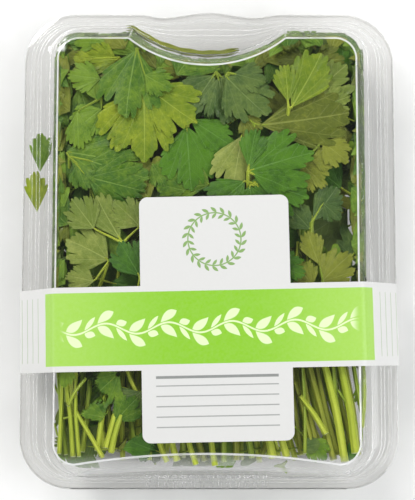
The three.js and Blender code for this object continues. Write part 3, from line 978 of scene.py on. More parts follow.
# sprigs as the photo shows them, in millimetres: node, cut end, layer from the lid, stem row, stem radius,
# tone, and leaflets by foot, heading, length and form
sprigs = [
    {"node": (-30.5, 82.6), "root": (-38, -87), "layer": 0, "row": "lower", "radius": 1.2, "tone": "mid",
     "leaves": [(-30.6, 82, -101, 30, "cleft"), (-27, 71, -30, 13, "fan")]},
    {"node": (8, 72), "root": (7, -90), "layer": 0, "row": "lower", "radius": 1.3, "tone": "dull",
     "leaves": [(7.3, 70.2, -46, 24, "fan"), (10.5, 71.5, -14, 14, "fan")]},
    {"node": (16.3, 30), "root": (21, -91), "layer": 0, "row": "upper", "radius": 1.2, "tone": "bright",
     "leaves": [(16.3, 30, 18, 29, "cleft"), (16.6, 31.5, 80, 17, "oblong"), (18, 29, -20, 17, "oblong")]},
    {"node": (33.5, 57), "root": (39, -88), "layer": 0, "row": "lower", "radius": 1.2, "tone": "lime",
     "leaves": [(34.6, 57, 59, 27, "oblong"), (33.2, 59.5, 92, 16, "oblong")]},
    {"node": (-28, 66), "root": (-30, -89), "layer": 1, "row": "lower", "radius": 1.3, "tone": "lime",
     "leaves": [(-30, 64, -112, 27, "cleft"), (-27.5, 63, -88, 29, "cleft"), (-26, 66, -38, 26, "cleft")]},
    {"node": (19, 50.5), "root": (25, -89), "layer": 1, "row": "lower", "radius": 1.4, "tone": "olive",
     "leaves": [(21.6, 49.8, 7, 38, "oblong"), (14.5, 54, -58, 11, "fan")]},
    {"node": (-9, 52), "root": (-18, -88), "layer": 3, "row": "lower", "radius": 1.3, "tone": "bright",
     "leaves": [(-9.5, 50, -86, 28, "cleft"), (-8, 53, -33, 21, "oblong")]},
    {"node": (3, 73), "root": (-5, -91), "layer": 2, "row": "lower", "radius": 1.1, "tone": "dull",
     "leaves": [(2, 71.5, -124, 20, "fan"), (4, 70.5, -80, 20, "fan"), (5, 71, -36, 17, "fan")]},
    {"node": (14, 46), "root": (13.5, -90), "layer": 2, "row": "upper", "radius": 1, "tone": "pale",
     "leaves": [(13.9, 45.4, -101, 24, "cleft")]},
    {"node": (40, 58), "root": (48, -88), "layer": 2, "row": "lower", "radius": 1.3, "tone": "pale",
     "leaves": [(38.4, 59.1, 40, 27, "fan"), (46.7, 57.9, 20, 14, "fan")]},
    {"node": (20.5, 24.5), "root": (29, -89), "layer": 1, "row": "upper", "radius": 1.1, "tone": "bright",
     "leaves": [(18, 26, -14, 25, "fan"), (17, 24, -82, 20, "fan"), (15, 26, -140, 20, "cleft")]},
    {"node": (-59, 37), "root": (-60, -86), "layer": 3, "row": "lower", "radius": 1.1, "tone": "mid",
     "leaves": [(-60, 39, -10, 27, "fan"), (-50, 35, -19, 26, "fan"), (-51, 28, -14, 25, "fan"),
                (-55.5, 33.7, -71, 12, "fan")]},
    {"node": (-45.5, 62), "root": (-53, -88), "layer": 2, "row": "lower", "radius": 1.1, "tone": "mid",
     "leaves": [(-45.4, 57, -142, 16, "fan"), (-47.5, 61, 95, 9, "fan"), (-46, 70, 173, 14, "fan"),
                (-55.5, 56, -88, 16, "oblong")]},
    {"node": (-38, 79.5), "root": (-46, -88), "layer": 3, "row": "lower", "radius": 1, "tone": "lime",
     "leaves": [(-39.2, 78.5, 172, 14, "fan"), (-49, 79, 178, 9, "oblong")]},
    {"node": (41, 36), "root": (45, -89), "layer": 2, "row": "upper", "radius": 1.3, "tone": "olive",
     "leaves": [(39, 33.5, -43, 14, "fan"), (43, 35.5, 2, 11, "fan"), (48, 43, -40, 14, "fan")]},
    {"node": (43, 9), "root": (51, -87), "layer": 3, "row": "upper", "radius": 1.4, "tone": "dull",
     "leaves": [(42.5, 6, 131, 13, "cleft"), (43.5, 9.5, 54, 18, "oblong"), (48, 17, -43, 10, "fan")]},
    {"node": (48, -18), "root": (58, -88), "layer": 2, "row": "upper", "radius": 1.45, "tone": "olive",
     "leaves": [(46, -9, 111, 15, "oblong"), (47, -16, 45, 17, "fan"), (43, -18, 122, 12, "fan")]},
    {"node": (-36, 0), "root": (-44, -86), "layer": 1, "row": "upper", "radius": 1, "tone": "pale",
     "leaves": [(-37, 1.6, 121, 21, "oblong"), (-29, 7, 134, 15, "fan"), (-48, 6, 127, 16, "fan")]},
    {"node": (-42, -8), "root": (-57, -88), "layer": 2, "row": "upper", "radius": 1.1, "tone": "pale",
     "leaves": [(-42, -7, 151, 20, "fan"), (-48, -16, 166, 12, "fan")]},
    {"node": (-28.5, -15), "root": (-36, -90), "layer": 0, "row": "upper", "radius": 1.1, "tone": "bright",
     "leaves": [(-28.8, -14, 120, 17, "cleft"), (-27, -15, 60, 18, "fan")]},
    {"node": (-15, 30), "root": (-27, -88), "layer": 4, "row": "upper", "radius": 1, "tone": "mid",
     "leaves": [(-10, 22.5, 168, 12, "fan"), (-24, 34, -59, 11, "cleft")]},
    {"node": (-8, 12), "root": (-11, -89), "layer": 2, "row": "upper", "radius": 1.2, "tone": "mid",
     "leaves": [(-9, 12, 196, 19, "cleft"), (-8, 11, 262, 21, "fan"), (-7, 12, 326, 16, "fan")]},
    {"node": (8, -4), "root": (3, -88), "layer": 3, "row": "upper", "radius": 1.2, "tone": "mid",
     "leaves": [(8, -5, 300, 20, "cleft"), (7, -5, 238, 20, "fan"), (9, -3, 12, 15, "fan")]},
    {"node": (24, -8), "root": (36, -90), "layer": 1, "row": "upper", "radius": 1.2, "tone": "bright",
     "leaves": [(24, -9, 278, 20, "cleft"), (25, -8, 338, 16, "fan")]},
    {"node": (-12, -14), "root": (-19, -89), "layer": 1, "row": "upper", "radius": 1.1, "tone": "mid",
     "leaves": [(-13, -15, 218, 18, "fan"), (-11, -15, 284, 19, "cleft")]},
    {"node": (-38, -58), "root": (-50, -87), "height": 23.4, "row": 23.4, "radius": 0.85, "tone": "mid",
     "leaves": [(-37, -54, -138, 17, "fan"), (-38.8, -74, 48, 14, "cleft"), (-43, -72, 172, 10, "fan")]},
    {"node": (43, 80.5), "root": (57, -88), "layer": 4, "row": "lower", "radius": 1.3, "tone": "olive",
     "leaves": [(41, 79, 178, 12, "fan"), (44, 78.5, 4, 14, "fan")]},
    {"node": (29, -32), "root": (40, -86), "layer": 3, "row": "upper", "radius": 1.3, "tone": "dull",
     "leaves": [(29, -31, 100, 14, "fan"), (30.5, -32, 30, 10, "fan")]},
    {"node": (54, -36), "root": (62.5, -86), "layer": 3, "row": "upper", "radius": 1.3, "tone": "mid",
     "leaves": [(54, -35, 78, 15, "fan")]},
]


def dice(seed):
    # the same numbers every time, as the solids of the lowest sprigs use them
    state = seed
    while True:
        state = state * 16807 % 2147483647
        yield state / 2147483647


underSprigs = {
    "columns": (-34, 1, 35),
    "rows": ((-14, 11.6), (20, 14.3), (51, 17)),
    "levels": (2.4, 4.6, 6.8, 9),
    "cutEnd": -88,
    "tones": ("mid", "dull", "olive"),
}


def layUnderSprigs():
    roll = dice(2024)
    found = []
    for j, (y, stems) in enumerate(underSprigs["rows"]):
        for i, x in enumerate(underSprigs["columns"]):
            node = (x + 6 * (next(roll) - 0.5), y + 6 * (next(roll) - 0.5))
            first = 360 * next(roll)
            leaves = []
            for k in range(3):
                heading = first + (k - 1) * 100
                a = math.radians(heading)
                length = 17 + 4 * next(roll)
                form = "fan" if next(roll) < 0.5 else "cleft"
                leaves.append((node[0] + 3 * math.cos(a), node[1] + 3 * math.sin(a), heading, length, form))
            root = (x * 1.15 + 6 * (j - 1), underSprigs["cutEnd"] + 2 * next(roll))
            found.append({
                "node": node, "root": root, "height": underSprigs["levels"][(i + 2 * j) % 4], "row": stems,
                "radius": 1.1, "tone": underSprigs["tones"][(i + j) % 3], "leaves": leaves,
            })
    return found


def levelOf(sprig):
    return sprig.get("height", leafShape["topLevel"] - leafShape["levelStep"] * sprig.get("layer", 0))


fillShape = {
    "count": 190,
    "x": (-65, 65),
    "y": (-86, 92),
    "levels": (8.0, 32.0),
    "length": (15, 26),
    # darker tones first: painted shade on the lower leaflets, with a random spread of tone
    "tones": ("deep", "deep", "dull", "deep", "mid", "olive", "dull", "mid", "bright", "olive"),
    "tries": 7,
}


def makeFill():
    # leaflets between the lowest sprigs and the upper ones, each laid where the pile is lowest; their tones
    # run from dark low in the pile to bright near the top, painted shade mixed with a random spread of tone
    roll = random.Random(77)
    groups = {}
    for n in range(fillShape["count"]):
        done = n / fillShape["count"]
        level = fillShape["levels"][0] + (fillShape["levels"][1] - fillShape["levels"][0]) * done
        tone = fillShape["tones"][int(done * 8) + roll.randint(0, 2)]
        if tone not in groups:
            groups[tone] = newHerb()
        bm, layers = groups[tone]
        front = fillShape["y"][0] if level < 17 else -22
        length = roll.uniform(*fillShape["length"])
        best = None
        for _ in range(fillShape["tries"]):
            x, y = roll.uniform(*fillShape["x"]), roll.uniform(front, fillShape["y"][1])
            heading = roll.uniform(0, 360)
            a = math.radians(heading)
            far = keepInside(x + 0.6 * length * math.cos(a), y + 0.6 * length * math.sin(a), level, 1.1)
            pile = float(relief.under(np.array([far[0]]), np.array([far[1]]))[0])
            if best is None or pile < best[0]:
                best = (pile, x, y, heading)
        x, y = keepInside(best[1], best[2], level, 1.1)
        leaflet = (x, y, best[3], length, roll.choice(("fan", "cleft", "fan")))
        grid = layLeaflet(leaflet, level, roll, True)
        tint = roll.random()
        addLeaflet(bm, grid, tint, layers)
        a = math.radians(best[3] + 180 + roll.uniform(-25, 25))
        away = keepInside(x + 12 * math.cos(a), y + 12 * math.sin(a), level, 1.1)
        addStalk(bm, (*away, level - 0.8), grid, 0.55, tint, layers)
    for tone, (bm, _) in groups.items():
        finishHerb(bm, "fill_leaves_" + tone, tone)


wallLeaves = {
    "step": 7.5,
    "rows": ((20.8, "mid"), (22.8, "dull"), (26.0, "mid"), (29.5, "olive"), (32.5, "mid")),
    "length": (11, 17),
    "margin": 0.65,
    "side": 61,
    "end": 84,
    "firstY": -24.0,
    "firstX": -58.0,
    "stagger": 2.0,
}


def makeWallLeaves():
    # leaflets pressed against the side walls and the leafy end, which show through the lid's slope
    w = wallLeaves
    roll = random.Random(31)
    for number, (level, tone) in enumerate(w["rows"]):
        bm, layers = newHerb()
        spots = []
        y = w["firstY"] + w["stagger"] * number
        while y < w["end"]:
            spots += [(-w["side"], y, 180), (w["side"], y, 0)]
            y += w["step"]
        x = w["firstX"] + w["stagger"] * number
        while x < w["side"] - 1:
            spots.append((x, w["end"] - packShape["scallopDepth"] * scallopAt(x), 90))
            x += w["step"]
        for x, y, out in spots:
            x += roll.uniform(-2, 2)
            y += roll.uniform(-2.5, 2.5)
            heading = out + roll.uniform(-65, 65)
            length = roll.uniform(*w["length"])
            leaflet = (x, y, heading, length, roll.choice(("fan", "oblong")))
            grid = layLeaflet(leaflet, level + roll.uniform(-1, 1), roll, True, w["margin"])
            addLeaflet(bm, grid, roll.random(), layers)
        finishHerb(bm, f"wall_leaves_{number + 1}", tone)


def seenAt(px, py, z):
    # where a point of the photo lies at a height, in millimetres
    tilt = math.radians(90 - studio["elevation"])
    focal = studio["lens"] / studio["sensor"] * studio["width"]
    u = (px - studio["width"] * (0.5 - studio["shiftX"])) / focal
    v = (studio["height"] / 2 + studio["shiftY"] * studio["width"] - py) / focal
    _, ty, tz = studio["target"]
    eyeY = ty - studio["distance"] * math.sin(tilt)
    eyeZ = tz + studio["distance"] * math.cos(tilt)
    far = (z - eyeZ) / (v * math.sin(tilt) - math.cos(tilt))
    return far * u, eyeY + far * (v * math.cos(tilt) + math.sin(tilt))


# stems seen beside and below the label: upper end and cut end in the photo's pixels, height and radius
looseStems = {
    "lime": (
        (63, 368, 53, 456, 31.5, 0.85), (64, 368, 73, 457, 33.0, 1.0), (76, 360, 79, 457, 34.0, 0.8),
        (76, 412, 103, 458, 34.6, 0.9), (106, 392, 97, 451, 33.2, 1.1), (116, 410, 106, 448, 33.8, 1.25),
        (121, 415, 111, 453, 34.4, 1.15), (124, 360, 142, 402, 33.0, 1.0), (104, 381, 140, 395, 32.4, 0.7),
        (300, 396, 326, 434, 34.8, 1.15), (323, 358, 345, 462, 34.2, 1.55), (340, 360, 365, 456, 34.6, 1.65),
        (210, 420, 215, 468, 32.5, 1.2), (262, 425, 273, 458, 33.5, 1.6), (278, 425, 287, 457, 33.2, 1.5),
        (156, 425, 167, 462, 32.6, 1.1), (171, 425, 177, 461, 33.4, 1.3), (186, 430, 196, 470, 33.9, 1.1),
    ),
    "mid": (
        (58, 362, 66, 455, 29.0, 1.0), (86, 378, 68, 406, 35.0, 0.7), (90, 380, 82, 452, 29.6, 1.1),
        (302, 362, 305, 454, 33.6, 0.8), (333, 362, 343, 442, 32.8, 1.3), (338, 390, 357, 425, 35.0, 0.6),
        (363, 362, 365, 428, 31.5, 0.95), (353, 362, 363, 412, 31.2, 0.95), (226, 425, 224, 462, 31.4, 1.2),
        (243, 425, 252, 458, 31.8, 1.2), (128, 368, 136, 450, 29.5, 1.1), (146, 425, 149, 460, 31.0, 1.2),
    ),
    "olive": (
        (308, 362, 334, 460, 32.4, 1.4), (300, 362, 317, 446, 31.6, 1.4), (294, 380, 313, 448, 32.8, 1.0),
        (316, 362, 338, 455, 31.0, 1.4), (330, 362, 354, 452, 30.6, 1.4), (345, 365, 358, 455, 30.4, 1.3),
        (292, 366, 302, 455, 30.4, 1.3), (104, 366, 112, 452, 28.5, 1.2), (234, 425, 236, 460, 30.6, 1.3),
        (272, 425, 262, 456, 30.5, 1.2), (196, 425, 205, 461, 30.4, 1.3), (110, 388, 109, 430, 31.0, 0.8),
    ),
}
# leaflets seen there: foot in the photo's pixels, heading, length, form, height and tone
looseLeaves = (
    (66, 366, -95, 9, "fan", 34.8, "mid"), (104, 364, -75, 13, "oblong", 33.6, "olive"),
    (84, 414, 12, 10, "oblong", 33.0, "mid"), (141, 392, -140, 15, "fan", 33.4, "dull"),
    (58, 436, -35, 15, "fan", 27.5, "mid"), (88, 446, 170, 14, "fan", 26.5, "deep"),
    (120, 448, 5, 13, "oblong", 31.0, "bright"), (62, 402, -60, 14, "fan", 26.0, "deep"),
    (100, 425, -110, 15, "fan", 25.0, "dull"), (130, 430, 200, 14, "fan", 26.0, "olive"),
    (308, 440, -45, 11, "fan", 32.0, "mid"), (296, 448, 10, 10, "oblong", 29.0, "dull"),
    (352, 440, -100, 9, "oblong", 31.0, "bright"), (366, 372, -88, 16, "oblong", 30.0, "mid"),
    (366, 436, 75, 11, "oblong", 30.0, "mid"), (240, 452, 190, 13, "fan", 28.5, "mid"),
    (190, 450, 20, 12, "fan", 28.0, "dull"), (160, 452, 160, 13, "fan", 29.0, "bright"),
)


def makeLooseStems():
    roll = random.Random(5)
    for tone, stems in looseStems.items():
        bm, layers = newHerb()
        for px, py, endX, endY, height, radius in stems:
            height -= 1.0
            top = seenAt(px, py, height - 1)
            cut = seenAt(endX, endY, height)
            cut = keepInside(*cut, height, 1.1)
            side = roll.uniform(-0.8, 0.8)
            middle = ((top[0] + cut[0]) / 2 + side, (top[1] + cut[1]) / 2, height + roll.uniform(-0.3, 0.3))
            points, _ = smoothPath([(*cut, height - 0.4), middle, (*top, height - 1.0)], 14)
            radii = [radius * (1 - 0.12 * k / 14) for k in range(15)]
            addTube(bm, points, radii, roll.random(), layers, sides=12, ridged=0.05)
        meshPiece("loose_stems_" + tone, bm, [stemFinishes[tone]] * 2, "tray_and_parsley")


def makeLooseLeaves():
    roll = random.Random(8)
    for tone in leafTones:
        bm, layers = newHerb()
        for px, py, heading, length, form, height, own in looseLeaves:
            if own != tone:
                continue
            foot = seenAt(px, py, height)
            grid = layLeaflet((*foot, heading, length, form), height, roll)
            tint = roll.random()
            addLeaflet(bm, grid, tint, layers)
            back = math.radians(heading + 180)
            away = keepInside(foot[0] + 9 * math.cos(back), foot[1] + 9 * math.sin(back), height, 1.1)
            addStalk(bm, (*away, height - 1.5), grid, 0.5, tint, layers)
        if len(bm.verts):
            finishHerb(bm, "loose_leaves_" + tone, tone)
        else:
            bm.free()


# bits caught between the two flanges: foot in the photo's pixels, heading, length, height and tone
shoulderLeaves = ((40, 172, 88, 17.0, 21.6, "mid"), (37, 212, 92, 17.5, 21.1, "lime"))
rimStrand = {
    "from": -36.0,
    "to": 13.0,
    "steps": 30,
    "height": 21.9,
    "wall": 94.0,
    "outside": 1.3,
    "strands": ((0.0, 0.0, 0.75), (1.1, -0.5, 0.5), (-0.8, -0.7, 0.5)),  # aside, lift and radius
}
forkBit = {"centre": (281.5, 466), "ends": ((274, 466.3), (287, 461), (286.6, 473.3)), "height": 22.0}


def makeShoulderBits():
    roll = random.Random(12)
    for number, (px, py, heading, length, height, tone) in enumerate(shoulderLeaves):
        bm, layers = newHerb()
        grid = layLeaflet((*seenAt(px, py, height), heading, length, "slim"), height, roll, margin=None)
        addLeaflet(bm, grid, 0.6, layers)
        finishHerb(bm, f"shoulder_leaf_{number + 1}", tone)


def makeRimStrand():
    # a stem and a leaf's edge lying along the thumb scallop
    r = rimStrand
    bm, layers = newHerb()
    for aside, lift, radius in r["strands"]:
        points = []
        for k in range(r["steps"] + 1):
            x = r["from"] + (r["to"] - r["from"]) * k / r["steps"]
            y = r["wall"] - packShape["scallopDepth"] * scallopAt(x) + r["outside"] + aside
            y += 0.2 * math.sin(x * 0.7 + aside)
            points.append(Vector((x, y, r["height"] + lift)))
        radii = [radius * min(1.0, 0.25 + 0.3 * min(k, r["steps"] - k)) for k in range(len(points))]
        addTube(bm, points, radii, 0.3 + aside * 0.3, layers, sides=8, ridged=0.08)
    meshPiece("rim_strand", bm, [stemFinishes["olive"]] * 2, "tray_and_parsley")


def makeForkBit():
    # a small forked bit of sprig by the front wall
    height = forkBit["height"]
    bm, layers = newHerb()
    middle = Vector((*seenAt(*forkBit["centre"], height), height))
    for n, end in enumerate(forkBit["ends"]):
        tip = Vector((*seenAt(*end, height), height - 0.2))
        points, _ = smoothPath([middle, middle.lerp(tip, 0.5) + Vector((0.2, 0.2, 0.2)), tip], 6)
        addTube(bm, points, [1.0 - 0.1 * k for k in range(7)], 0.5 + 0.1 * n, layers, sides=8, whole=False)
    meshPiece("fork_bit", bm, [stemFinishes["mid"]] * 2, "tray_and_parsley")


for n, sprig in enumerate(layUnderSprigs()):
    makeSprig(f"sprig_{n + 30}_leaves", sprig, levelOf(sprig), 300 + n, plain=True)
makeFill()
makeWallLeaves()
makeLooseLeaves()
makeLooseStems()
makeShoulderBits()
makeRimStrand()
makeForkBit()
for n in sorted(range(len(sprigs)), key=lambda n: levelOf(sprigs[n])):
    makeSprig(f"sprig_{n + 1:02d}_leaves", sprigs[n], levelOf(sprigs[n]), 40 + n)
print("parsley made")


# label

labelShape = {
    "width": 62.0,
    "centre": 3.0,
    "back": 19.2,
    "front": -82.0,
    "radius": 3.4,
    "bandBack": -17.7,
    "bandFront": -52.4,
    "turn": 1.2,  # degrees, as it was stuck on
    "about": (3.0, -35.0),
    "fold": 64.3,
    "flap": 80.45,
    "flapTop": 21.35,
    "flapBottom": 11.5,
    "foldRound": 2.0,
    "height": 38.3,
    "thick": 0.28,
}
labelInks = {
    "paper": "dadad8",
    "bandMid": "86c600",
    "bandEnd": "a2d44c",
    "garland": "e9f8c6",
    "sprig": "6f9d33",
    "dark": "3f4a45",
    "bandCentre": -2.7,  # the band's green is centred on the pack, not on the panel
    "bandEdge": 68.0,  # the print stops here on both sides
}


def turned(x, y):
    a = math.radians(labelShape["turn"])
    cx, cy = labelShape["about"]
    dx, dy = x - cx, y - cy
    return cx + dx * math.cos(a) - dy * math.sin(a), cy + dx * math.sin(a) + dy * math.cos(a)


def lensMask(u, v, length, width):
    # a leaf shape along u, pointed at both ends
    half = u / (length / 2)
    return 1.0 - stepUp(absOf(v) / width - (1.0 - half * half), -0.12, 0.12)


def makeLabelFinish():
    # printed on object coordinates in millimetres, turned back to the label's own axes
    finish = Finish("printed_paper")
    place, _ = objectPlace(finish)
    a = math.radians(labelShape["turn"])
    cx, cy = labelShape["about"]
    mapping = finish.node(
        "ShaderNodeMapping", {"vector_type": "TEXTURE"},
        {"Vector": place, "Location": (cx * mm, cy * mm, 0), "Rotation": (0, 0, a), "Scale": (mm, mm, mm)},
    )
    split = finish.node("ShaderNodeSeparateXYZ", None, {0: mapping.outputs[0]})
    x, y = [Val(finish, s) for s in split.outputs[:2]]
    half = (labelShape["bandBack"] - labelShape["bandFront"]) / 2
    middle = (labelShape["bandBack"] + labelShape["bandFront"]) / 2 - cy
    fromMiddle = absOf(y - middle)
    alongBand = absOf(x - labelInks["bandCentre"])
    inBand = 1.0 - stepUp(fromMiddle, half - 2.5, half - 2.2)
    inBand = inBand * (1.0 - stepUp(alongBand, labelInks["bandEdge"] - 0.2, labelInks["bandEdge"] + 0.2))
    fade = stepUp(alongBand, 12.0, 66.0)
    green = finish.mix(linear(labelInks["bandMid"]), linear(labelInks["bandEnd"]), fade)
    colour = finish.mix(linear(labelInks["paper"]), green, inBand)

    # a garland of small leaves along the band
    period = 13.0
    cell = (fractOf(x / period) - 0.5) * period
    wave = sinOf(x * (2 * math.pi / (period * 2))) * 2.2
    v = y - middle - wave
    leaves = 1.0 - stepUp(absOf(v), 0.25, 0.5)
    for side, lean in ((1, 0.62), (-1, -0.62)):
        u1 = cell * math.cos(lean) + (v - side * 3.1) * math.sin(lean)
        v1 = (v - side * 3.1) * math.cos(lean) - cell * math.sin(lean)
        leaves = most(leaves, lensMask(u1, v1, 8.2, 1.75))
        shifted = (fractOf(x / period + 0.5) - 0.5) * period
        u2 = shifted * math.cos(lean) + (v - side * 2.3) * math.sin(lean)
        v2 = (v - side * 2.3) * math.cos(lean) - shifted * math.sin(lean)
        leaves = most(leaves, lensMask(u2, v2, 5.4, 1.2))
    leaves = leaves * inBand * (1.0 - stepUp(alongBand, 58.0, 62.0)) * 0.9
    pale = finish.mix(colour, linear(labelInks["garland"]), leaves)

    # an open wreath on the upper panel
    wy = y - (labelShape["back"] - 18.0 - cy)
    angle = x.math("ARCTAN2", wy, x)
    leafCount, size = 22, 11.0
    around = (fractOf(angle * (leafCount / (2 * math.pi))) - 0.5) * (2 * math.pi * size / leafCount)
    offRing = rootOf(x * x + wy * wy) - size
    ring = 1.0 - stepUp(absOf(offRing), 0.18, 0.36)
    for side, lean in ((1, 0.8), (-1, -0.8)):
        beside = offRing - side * 1.3
        ru = around * math.cos(lean) + beside * math.sin(lean)
        rv = beside * math.cos(lean) - around * math.sin(lean)
        ring = most(ring, lensMask(ru, rv, 3.2, 0.62))
    inked = finish.mix(pale, linear(labelInks["sprig"]), ring * 0.9)

    # ruled lines on the lower panel and hairlines on the flaps
    low = y - (labelShape["front"] - cy)
    lines = 1.0 - stepUp(absOf(fractOf(low / 4.2) - 0.5), 0.045, 0.075)
    column = 1.0 - stepUp(absOf(x), 25.0, 25.3)
    lines = lines * stepUp(low, 4.4, 4.6) * (1.0 - stepUp(low, 25.2, 25.4)) * column
    thick = (1.0 - stepUp(absOf(low - 26.6), 0.5, 0.65)) * column
    flaps = 1.0 - stepUp(absOf(fractOf(alongBand / 2.6) - 0.5), 0.04, 0.07)
    flaps = flaps * stepUp(alongBand, 70.0, 70.2) * (1.0 - stepUp(fromMiddle, half - 4.0, half - 3.8))
    inked = finish.mix(inked, linear(labelInks["dark"]), most(lines * 0.55, thick * 0.7))
    inked = finish.mix(inked, linear(labelInks["sprig"]), flaps * 0.5)
    grain = noiseOf(finish, 900.0, 3.0, place)
    inked = finish.mix(inked, linear("ffffff"), grain * 0.08)
    bump = finish.node("ShaderNodeBump", None, {"Strength": 0.12, "Distance": 0.0002, "Height": grain})
    shader = finish.node(
        "ShaderNodeBsdfPrincipled", None,
        {"Base Color": inked, "Roughness": 0.36 + grain * 0.12, "Normal": bump.outputs[0]},
    )
    shader.inputs["Coat Weight"].default_value = 0.1
    shader.inputs["Coat Roughness"].default_value = 0.25
    return finish.finish(shader.outputs[0])


def makePaperBack():
    # the unprinted side, which shows through the lid when it is open
    finish = Finish("paper_back")
    place, _ = objectPlace(finish)
    grain = noiseOf(finish, 700.0, 3.0, place)
    colour = finish.mix(linear("d2d2ce"), linear("e0e0dc"), grain)
    shader = finish.node("ShaderNodeBsdfPrincipled", None, {"Base Color": colour, "Roughness": 0.7})
    return finish.finish(shader.outputs[0])


def labelProfile():
    # across the band: up the left flap, over both folds, down the right flap, with rounded folds
    s = labelShape
    rightSide = [(s["fold"], s["height"]), (s["flap"], s["flapTop"]), (s["flap"], s["flapBottom"])]
    corners = [(-x, z) for x, z in reversed(rightSide)] + rightSide
    points = [corners[0]]
    for before, at, after in zip(corners, corners[1:], corners[2:]):
        a, b, c = Vector(before), Vector(at), Vector(after)
        start = b + (a - b).normalized() * s["foldRound"]
        end = b + (c - b).normalized() * s["foldRound"]
        for k in range(6):
            t = k / 5
            p = start * (1 - t) ** 2 + b * (2 * t * (1 - t)) + end * t * t
            points.append((p.x, p.y))
    points.append(corners[-1])
    fine = [points[0]]
    for a, b in zip(points, points[1:]):
        steps = max(1, round(math.hypot(b[0] - a[0], b[1] - a[1]) / 4.0))
        for k in range(1, steps + 1):
            fine.append((a[0] + (b[0] - a[0]) * k / steps, a[1] + (b[1] - a[1]) * k / steps))
    return fine


def makeLabel():
    s = labelShape
    bm = bmesh.new()
    profile = labelProfile()
    spots = gridPatch(bm, len(profile) - 1, 10)
    for vert, (row, column) in spots.items():
        x, z = profile[column]
        y = s["bandFront"] + (s["bandBack"] - s["bandFront"]) * row / 10
        slack = 0.25 * math.sin(y * 0.55 + x * 0.05) * smoothShare(abs(x), 62, 70)
        tx, ty = turned(x, y)
        tx = math.copysign(min(abs(tx), s["flap"] + 0.05), tx) if abs(x) > s["flap"] - 0.01 else tx
        vert.co = Vector((tx, ty, z + (slack if abs(x) < s["flap"] - 1 else 0.0))) * mm
    half = s["width"] / 2
    r = s["radius"]
    ring = []
    for cx, cy, start in ((half - r, s["front"] + r, -90), (half - r, s["back"] - r, 0),
                          (-half + r, s["back"] - r, 90), (-half + r, s["front"] + r, 180)):
        for k in range(9):
            a = math.radians(start + k * 90 / 8)
            ring.append((s["centre"] + cx + r * math.cos(a), cy + r * math.sin(a)))
    panel = bmesh.ops.create_circle(bm, cap_ends=True, radius=1.0, segments=len(ring))["verts"]
    panel.sort(key=lambda v: math.atan2(v.co.y, v.co.x) % (2 * math.pi))
    for vert, (x, y) in zip(panel, ring):
        tx, ty = turned(x, y)
        vert.co = Vector((tx, ty, s["height"] + 0.02)) * mm
    bmesh.ops.recalc_face_normals(bm, faces=facesOf(panel))
    for face in facesOf(panel):
        if face.normal.z < 0:
            face.normal_flip()
    for face in bm.faces:
        face.smooth = True
    bmesh.ops.solidify(bm, geom=bm.faces[:], thickness=s["thick"] * mm)
    for face in bm.faces:
        x = face.calc_center_median().x
        outward = Vector((math.copysign(1.0, x) if abs(x) > s["fold"] * mm else 0.0, 0.0, 1.0))
        if face.normal.dot(outward) < 0:
            face.material_index = 1
    creaseSharp(bm, 50)
    finishes = [makeLabelFinish(), makePaperBack()]
    meshPiece("label_paper", bm, finishes, "lid_and_label", ["label"])


makeLabel()
print("label made")


# floor, light and camera

lamps = {
    "key": {"place": (-0.45, 0.6, 0.8), "size": 0.4, "power": 5.2, "colour": (1.0, 0.99, 0.97)},
    "fill": {"place": (0.6, -0.2, 0.7), "size": 0.6, "power": 2.7, "colour": (0.98, 0.99, 1.0)},
    "left": {"place": (-0.6, 0.05, 0.42), "power": 1.7},
    "right": {"place": (0.6, 0.05, 0.42), "power": 1.7},
    "back": {"place": (0.0, 0.7, 0.42), "power": 1.2},
    "front": {"place": (0.0, -0.75, 0.3), "power": 1.2},
}
stripSize = (1.1, 0.05)


def makeFloor():
    bm = bmesh.new()
    bmesh.ops.create_grid(bm, x_segments=4, y_segments=4, size=2.0)
    bmesh.ops.translate(bm, verts=bm.verts, vec=(0, 0, -0.0001))
    mesh = bpy.data.meshes.new("floor")
    bm.to_mesh(mesh)
    bm.free()
    mesh.materials.append(makeFloorFinish())
    floor = bpy.data.objects.new("floor", mesh)
    bpy.context.scene.collection.objects.link(floor)


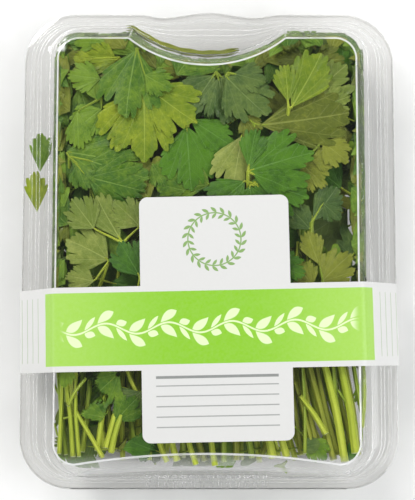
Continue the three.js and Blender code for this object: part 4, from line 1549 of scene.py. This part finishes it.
def makeLamp(name):
    # a round lamp, or where no size is given a long strip that draws a white line along a rounded edge
    lamp = lamps[name]
    data = bpy.data.lights.new(name, "AREA")
    if "size" in lamp:
        data.shape = "DISK"
        data.size = lamp["size"]
        data.color = lamp["colour"]
    else:
        data.shape = "RECTANGLE"
        data.size, data.size_y = stripSize
    data.energy = lamp["power"]
    light = bpy.data.objects.new(name, data)
    light.location = lamp["place"]
    aim = Vector((0, 0, 0.02 if "size" in lamp else 0.03)) - Vector(lamp["place"])
    light.rotation_euler = aim.to_track_quat("-Z", "Y").to_euler()
    bpy.context.scene.collection.objects.link(light)


def makeWorld():
    # white all round and dim overhead, where the flat lid would mirror it
    world = bpy.data.worlds.new("studio")
    world.use_nodes = True
    nodes, links = world.node_tree.nodes, world.node_tree.links
    place = nodes.new("ShaderNodeTexCoord")
    split = nodes.new("ShaderNodeSeparateXYZ")
    links.new(place.outputs["Generated"], split.inputs[0])
    ramp = nodes.new("ShaderNodeMapRange")
    ramp.interpolation_type = "SMOOTHSTEP"
    nodes["Background"].inputs["Color"].default_value = (0.98, 0.99, 1.0, 1.0)
    spans = {"From Min": 0.8, "From Max": 0.95, "To Min": studio["world"], "To Max": studio["overhead"]}
    for key, value in spans.items():
        ramp.inputs[key].default_value = value
    links.new(split.outputs[2], ramp.inputs["Value"])
    links.new(ramp.outputs[0], nodes["Background"].inputs["Strength"])
    bpy.context.scene.world = world


def makeCamera():
    data = bpy.data.cameras.new("camera")
    data.sensor_fit = "HORIZONTAL"
    data.sensor_width = studio["sensor"]
    data.lens = studio["lens"]
    data.shift_x = studio["shiftX"]
    data.shift_y = studio["shiftY"]
    camera = bpy.data.objects.new("camera", data)
    tilt = math.radians(90 - studio["elevation"])
    back = studio["distance"]
    tx, ty, tz = studio["target"]
    camera.location = Vector((tx, ty - back * math.sin(tilt), tz + back * math.cos(tilt))) * mm
    camera.rotation_euler = (tilt, 0, 0)
    bpy.context.scene.collection.objects.link(camera)
    bpy.context.scene.camera = camera


makeFloor()
makeWorld()
for name in lamps:
    makeLamp(name)
makeCamera()
bpy.context.scene.view_settings.view_transform = "Standard"
print("studio ready")
